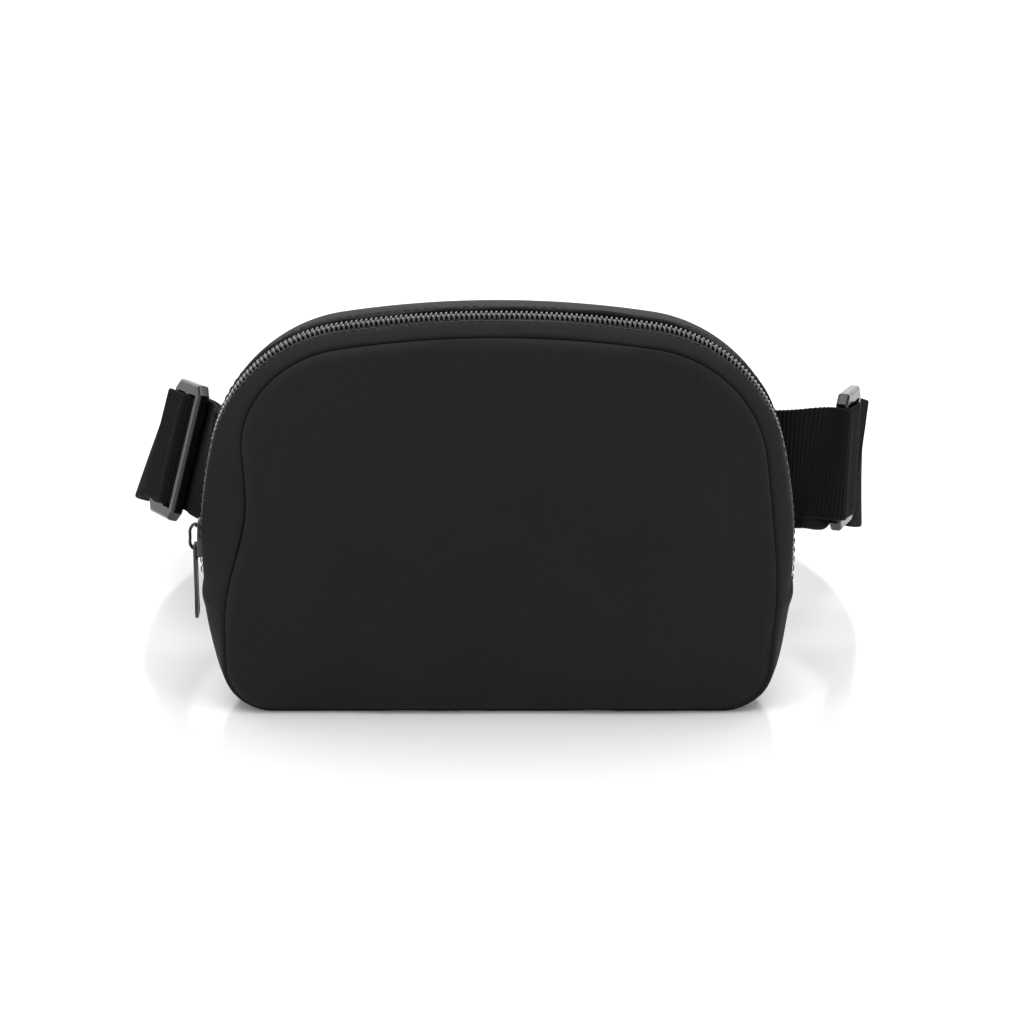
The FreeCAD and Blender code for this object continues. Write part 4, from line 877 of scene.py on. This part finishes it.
def pullTab():
    # The pull: a plate with an eye for the hook, a waist and a flared tip, and a raised rim.
    s = sliderShape
    wide, tip, long = s["pullWide"] / 2, s["pullTip"] / 2, s["pullLength"]
    eyeWide, eyeLong, top = s["eyeWide"] / 2, s["eyeLong"], 0.5
    outer = roundedOutline([
        (-wide, top), (wide, top), (wide * 0.98, -7.0), (wide * 0.80, -12.0), (wide * 0.9, -long + 5.5),
        (tip, -long + 1.6),
        (tip * 0.8, -long), (-tip * 0.8, -long), (-tip, -long + 1.6), (-wide * 0.9, -long + 5.5),
        (-wide * 0.80, -12.0),
        (-wide * 0.98, -7.0),
    ], 1.5, 7)
    inner = roundedOutline([
        (-eyeWide, -0.5), (eyeWide, -0.5), (eyeWide, -2.0), (eyeWide, -0.5 - eyeLong * 0.75),
        (eyeWide * 0.6, -0.5 - eyeLong),
        (eyeWide * 0.3, -0.5 - eyeLong), (-eyeWide * 0.3, -0.5 - eyeLong), (-eyeWide * 0.6, -0.5 - eyeLong),
        (-eyeWide, -0.5 - eyeLong * 0.75), (-eyeWide, -2.0), (-eyeWide, -1.6), (-eyeWide, -1.2),
    ], 0.5, 7)
    half, edge = s["pullHalf"], 0.3
    rows = []
    turn = np.linspace(0, math.pi / 2, 5)
    span = np.linalg.norm(inner - outer, axis=1, keepdims=True)
    toward = (inner - outer) / span
    for t in turn:
        rows.append((outer + toward * edge * (1 - math.cos(t)), half - edge * (1 - math.sin(t))))
    rows.append((outer + toward * np.minimum(0.75, span * 0.35), half))
    rows.append((outer + toward * np.minimum(0.95, span * 0.45), half - 0.12))
    rows.append((inner - toward * np.minimum(0.55, span * 0.35), half - 0.12))
    for t in turn[::-1]:
        rows.append((inner - toward * edge * (1 - math.cos(t)), half - edge * (1 - math.sin(t)) - 0.06))
    flat = np.array([r for r, height in rows] + [r for r, height in rows[::-1]])
    height = np.array([h for r, h in rows] + [-h for r, h in rows[::-1]])[:, None] * np.ones(len(outer))
    pivot = np.array(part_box("zip_pull")[1]) / mm
    hung = np.stack([height + (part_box("zip_pull")[0][0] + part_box("zip_pull")[1][0]) / 2 / mm,
                     flat[..., 0] + bagShape["zipLine"], flat[..., 1] + pivot[2] - top], -1)
    faces = gridQuads(len(hung) + 1, len(outer), closeColumns=True) % (len(hung) * len(outer))
    return mergeDoubles(
        makePiece("pullTab", hung, faces, zinc, body="pull", nodes=["zip_pull"])
    )


pullTab()
print("zip ready")

beltShape = {
    "halfWidth": 18.5, "halfThick": 0.8, "ribPitch": 1.3, "ribHeight": 0.24, "bagEdge": 92.0, "back": 30.0,
    "height": 61.5,
    # distance of each layer from the middle of the long one, and where a layer turns in the adjuster
    "low": 1.7, "high": 7.5, "lift": 0.3, "adjusterHalf": 12.0, "turnIn": 2.4, "turnOut": 8.0,
    # how much higher the second layer sits on the right, and its free end beyond the adjuster on the left
    "rise": 4.0, "freeEnd": 1.5,
    "buckleBack": 176.0, "buckleHeight": 25.0, "barReach": 32.4, "loopRadius": 3.3, "endRun": 17.0,
}
beltRoutes = {
    # beyond the widest point, behind the back seam, below the height at the bag, degrees of lean
    "right": {
        "before": [(-8.8, 2.6, 4, 0), (3.6, 3.4, 4, 0), (11.0, 6.0, 4.5, 0)],
        "adjuster": ((18.6, 23.5, 8.5), (0.29, 0.93, 0.12), 0),
        "after": [(28, 43.5, 14, 0), (32.5, 60, 22, 0), (28, 82, 29.5, 0),
            (16, 104, 34, 0), (-3, 127, 36, 0)],
    },
    "left": {
        "before": [(-8.8, 2.6, 2, 0), (0.0, 5.0, 2, 8), (3.0, 11.5, 2.5, 16)],
        "adjuster": ((10.6, 30.0, 5.0), (0.43, 0.89, 0.13), 19),
        "after": [(21.5, 49, 8.5, 24), (27.5, 66, 14.5, 22), (24, 90, 24.5, 13),
            (9, 113, 32.5, 6), (-14, 133, 35.5, 1)],
    },
}


def place(side, beyond, behind, below):
    # A point of the belt's route in the bag's frame.
    b = beltShape
    sign = 1 if side == "right" else -1
    return np.array([sign * (b["bagEdge"] + beyond), b["back"] + behind, b["height"] - below])


def acrossAt(side, heading, lean):
    # Unit vector up the webbing, and the one out of the belt, for a heading and a lean.
    sign = 1 if side == "right" else -1
    out = np.array([sign * heading[1], -sign * heading[0], 0.0])
    out /= np.linalg.norm(out)
    run = np.asarray(heading, float) / np.linalg.norm(heading)
    normal = out * math.cos(lean) + np.array([0, 0, math.sin(lean)])
    normal -= run * normal.dot(run)
    normal /= np.linalg.norm(normal)
    up = np.cross(normal, run)
    return up * np.sign(up[2]), normal


def webbingStrip(name, stations, side, nodes, seed, sag=0.25):
    # Ribbed webbing: an upright closed section, with its ribs across it, swept along the stations
    # (point, unit vector up the webbing). Rib height follows |sin(pi s / pitch)| along the length s.
    b = beltShape
    packed = np.array([np.r_[p, up] for p, up in stations])
    line = splineThrough(packed, b["ribPitch"] / 6)
    middle, up = line[:, :3], line[:, 3:]
    up /= np.linalg.norm(up, axis=1, keepdims=True)
    way = np.gradient(middle, axis=0)
    way /= np.linalg.norm(way, axis=1, keepdims=True)
    out = np.cross(way, up) * (1 if side == "right" else -1)
    out /= np.linalg.norm(out, axis=1, keepdims=True)
    length = np.r_[0, np.cumsum(np.linalg.norm(np.diff(middle, axis=0), axis=1))]
    rib = np.abs(np.sin(math.pi * length / b["ribPitch"]))
    half, thick = b["halfWidth"], b["halfThick"]
    flat = np.linspace(-1, 1, 15)
    turn = np.linspace(-math.pi / 2, math.pi / 2, 5)[1:-1]
    # section, counted round: outer face bottom to top, the top edge, inner face, the bottom edge
    acrossShare = np.r_[flat, 1 + 0 * turn, flat[::-1], -1 + 0 * turn]
    sideShare = np.r_[np.ones(15), -np.sin(turn), -np.ones(15), np.sin(turn)]
    edgeShare = np.r_[np.zeros(15), np.cos(turn), np.zeros(15), -np.cos(turn)]
    edgeSign = np.r_[np.zeros(15), np.ones(3), np.zeros(15), -np.ones(3)]
    scallop = 0.28 * rib[:, None] * np.abs(edgeShare)[None, :]
    edge = edgeSign[None, :] * np.abs(edgeShare)[None, :] * thick * 0.7
    across = acrossShare[None, :] * (half - thick * 0.7) + edge
    across = across + edgeSign[None, :] * scallop
    body = thick - b["ribHeight"] * 0.5
    proud = sideShare[None, :] * (body + b["ribHeight"] * (rib[:, None] - 0.5))
    wave = ripples(middle, 60, sag, seed)[:, None] * (acrossShare ** 2)[None, :]
    raised = (proud + wave)[..., None]
    points = middle[:, None, :] + up[:, None, :] * across[..., None] + out[:, None, :] * raised
    uv = np.stack([np.repeat(length[:, None], points.shape[1], 1), across], -1) * mm
    faces = [
        list(q) for q in gridQuads(len(points), points.shape[1], closeColumns=True, flip=(side != "right"))
    ]
    last = (len(points) - 1) * points.shape[1]
    ends = [list(range(points.shape[1])), [last + i for i in range(points.shape[1])]]
    faces.append(ends[0][::-1] if side == "right" else ends[0])
    faces.append(ends[1] if side == "right" else ends[1][::-1])
    piece = makePiece(name, points, faces, webbing, uv, nodes=nodes)
    for polygon in list(piece.data.polygons)[-2:]:
        polygon.use_smooth = False
    return piece


def beltSide(side, seed):
    # Both layers of one side: the long one to the buckle, sewn back round its bar, and the short one
    # that goes through the adjuster and ends as a free end.
    b = beltShape
    sign = 1 if side == "right" else -1
    middle, direction, lean = beltRoutes[side]["adjuster"]
    centre = place(side, *middle)
    unit = np.array([sign * direction[0], direction[1], -direction[2]])
    unit /= np.linalg.norm(unit)
    half = b["adjusterHalf"]
    before = [(place(side, *p[:3]), p[3]) for p in beltRoutes[side]["before"]]
    inside = [(centre - unit * half, lean), (centre + unit * half, lean)]
    after = [(place(side, *p[:3]), p[3]) for p in beltRoutes[side]["after"]]
    bar = np.array([sign * b["barReach"], b["buckleBack"], b["buckleHeight"]])
    end = [(bar + [sign * b["endRun"], b["loopRadius"], 0], 0)]
    line = before + inside + after + end
    points = [p for p, tilt in line]
    headings = [points[min(i + 1, len(points) - 1)] - points[max(i - 1, 0)] for i in range(len(points))]
    headings[0] = headings[1]
    first = len(before)
    headings[first] = headings[first + 1] = unit
    frames = [acrossAt(side, h, math.radians(tilt)) for h, (p, tilt) in zip(headings, line)]
    upright = np.array([0, 0, 1.0])
    main = [(p, up) for p, (up, out) in zip(points, frames)]
    for turn in np.radians([90, 60, 30, 0, -30, -60, -90]):
        # round the bar on the buckle's side
        main.append((bar + b["loopRadius"] * np.array([-sign * math.cos(turn), math.sin(turn), 0]), upright))
    for beyond, gap in ((5.0, -2.6), (9.0, -0.3), (13.0, 1.2), (20.0, 1.55)):
        main.append((bar + np.array([sign * beyond, gap, 0]), upright))
    webbingStrip("beltWebbing" + side.title(), main, side, ["belt_webbing_" + side], seed)

    up, out = acrossAt(side, unit, math.radians(lean))
    if side == "right":
        profile = [(-half - 0.5, b["high"] - 0.1), (-half + 3, b["high"]), (b["turnIn"], b["high"])]
        profile += [(b["turnOut"], b["low"]), (half, b["low"])]
        raised = b["rise"]
    else:
        profile = [(-half, b["low"]), (-b["turnOut"], b["low"]), (-b["turnIn"], b["high"])]
        profile += [(b["turnIn"], b["high"]), (half + b["freeEnd"], b["high"])]
        raised = 0.0
    tail = [(points[i] + frames[i][0] * raised + frames[i][1] * b["low"], frames[i][0]) for i in range(first)]
    tail += [(centre + up * raised + unit * along + out * lift, up) for along, lift in profile]
    if side == "right":
        beyondUp, beyondOut = frames[first + 2]
        tail.append((points[first + 2] + beyondUp * raised + beyondOut * (b["low"] + b["lift"]), beyondUp))
    webbingStrip("beltTail" + side.title(), tail, side, ["belt_tail_" + side], seed + 3)


beltSide("right", 71)
beltSide("left", 81)
print("belt ready")

finishes = {
    "adjuster_right": acetal, "adjuster_left": acetal, "buckle_socket": acetal, "buckle_plug": acetal,
    "buckle_prong_top": acetal, "buckle_prong_bottom": acetal,
    "zip_top_stops": zinc, "zip_bottom_stop": zinc,
}
for nodeName, finish in finishes.items():
    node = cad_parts[nodeName]
    node.data.materials.clear()
    node.data.materials.append(finish)

world = bpy.data.worlds.new("even light")
bpy.context.scene.world = world
world.use_nodes = True
world.node_tree.nodes["Background"].inputs["Color"].default_value = (1.0, 1.0, 1.0, 1.0)
world.node_tree.nodes["Background"].inputs["Strength"].default_value = 0.6

floorMaterial, *_ = newMaterial(
    "white table top",
    {"Base Color": hexColour("#ececec"), "Roughness": 0.12, "IOR": 1.45, "Specular IOR Level": 0.5},
)
floorMesh = bpy.data.meshes.new("floor")
floorMesh.from_pydata([(-3, -3, 0), (3, -3, 0), (3, 3, 0), (-3, 3, 0)], [], [(0, 1, 2, 3)])
floorMesh.materials.append(floorMaterial)
floor = bpy.data.objects.new("floor", floorMesh)
bpy.context.scene.collection.objects.link(floor)
backdropMaterial, *_ = newMaterial(
    "white backdrop", {"Base Color": hexColour("#f6f6f6"), "Roughness": 0.9,
     "Emission Color": hexColour("#ffffff"), "Emission Strength": 1.0}
)
backdropMesh = bpy.data.meshes.new("backdrop")
backdropMesh.from_pydata([(-3, 2.9, 0), (3, 2.9, 0), (3, 2.9, 3), (-3, 2.9, 3)], [], [(0, 1, 2, 3)])
backdropMesh.materials.append(backdropMaterial)
backdrop = bpy.data.objects.new("backdrop", backdropMesh)
bpy.context.scene.collection.objects.link(backdrop)


def softLight(name, place, aim, width, height, power):
    # A rectangular soft light pointed at a place.
    lamp = bpy.data.lights.new(name, "AREA")
    lamp.shape = "RECTANGLE"
    lamp.size = width
    lamp.size_y = height
    lamp.energy = power
    holder = bpy.data.objects.new(name, lamp)
    holder.location = place
    direction = np.array(aim, float) - np.array(place, float)
    yaw = math.atan2(direction[1], direction[0]) - math.pi / 2
    pitch = math.atan2(direction[2], math.hypot(direction[0], direction[1])) + math.pi / 2
    holder.rotation_euler = (pitch, 0.0, yaw)
    bpy.context.scene.collection.objects.link(holder)
    return holder


softLight("top light", (0.0, 0.05, 1.3), (0.0, 0.0, 0.06), 1.6, 1.2, 18.0)
softLight("left light", (-1.0, -0.7, 0.55), (0.0, 0.0, 0.06), 0.7, 1.0, 4.0)
softLight("right light", (1.0, -0.7, 0.55), (0.0, 0.0, 0.06), 0.7, 1.0, 4.0)

cameraShape = {
    "elevation": math.radians(19.0), "distance": 0.930, "target": (0.0045, -0.030, 0.0663), "lens": 107.0
}
cameraData = bpy.data.cameras.new("camera")
cameraData.lens = cameraShape["lens"]
cameraData.sensor_width = 36.0
cameraData.clip_start = 0.05
camera = bpy.data.objects.new("camera", cameraData)
reach = cameraShape["distance"]
target = cameraShape["target"]
camera.location = (
    target[0], target[1] - reach * math.cos(cameraShape["elevation"]),
    target[2] + reach * math.sin(cameraShape["elevation"])
)
camera.rotation_euler = (math.pi / 2 - cameraShape["elevation"], 0.0, 0.0)
bpy.context.scene.collection.objects.link(camera)
bpy.context.scene.camera = camera
bpy.context.scene.view_settings.view_transform = "Standard"
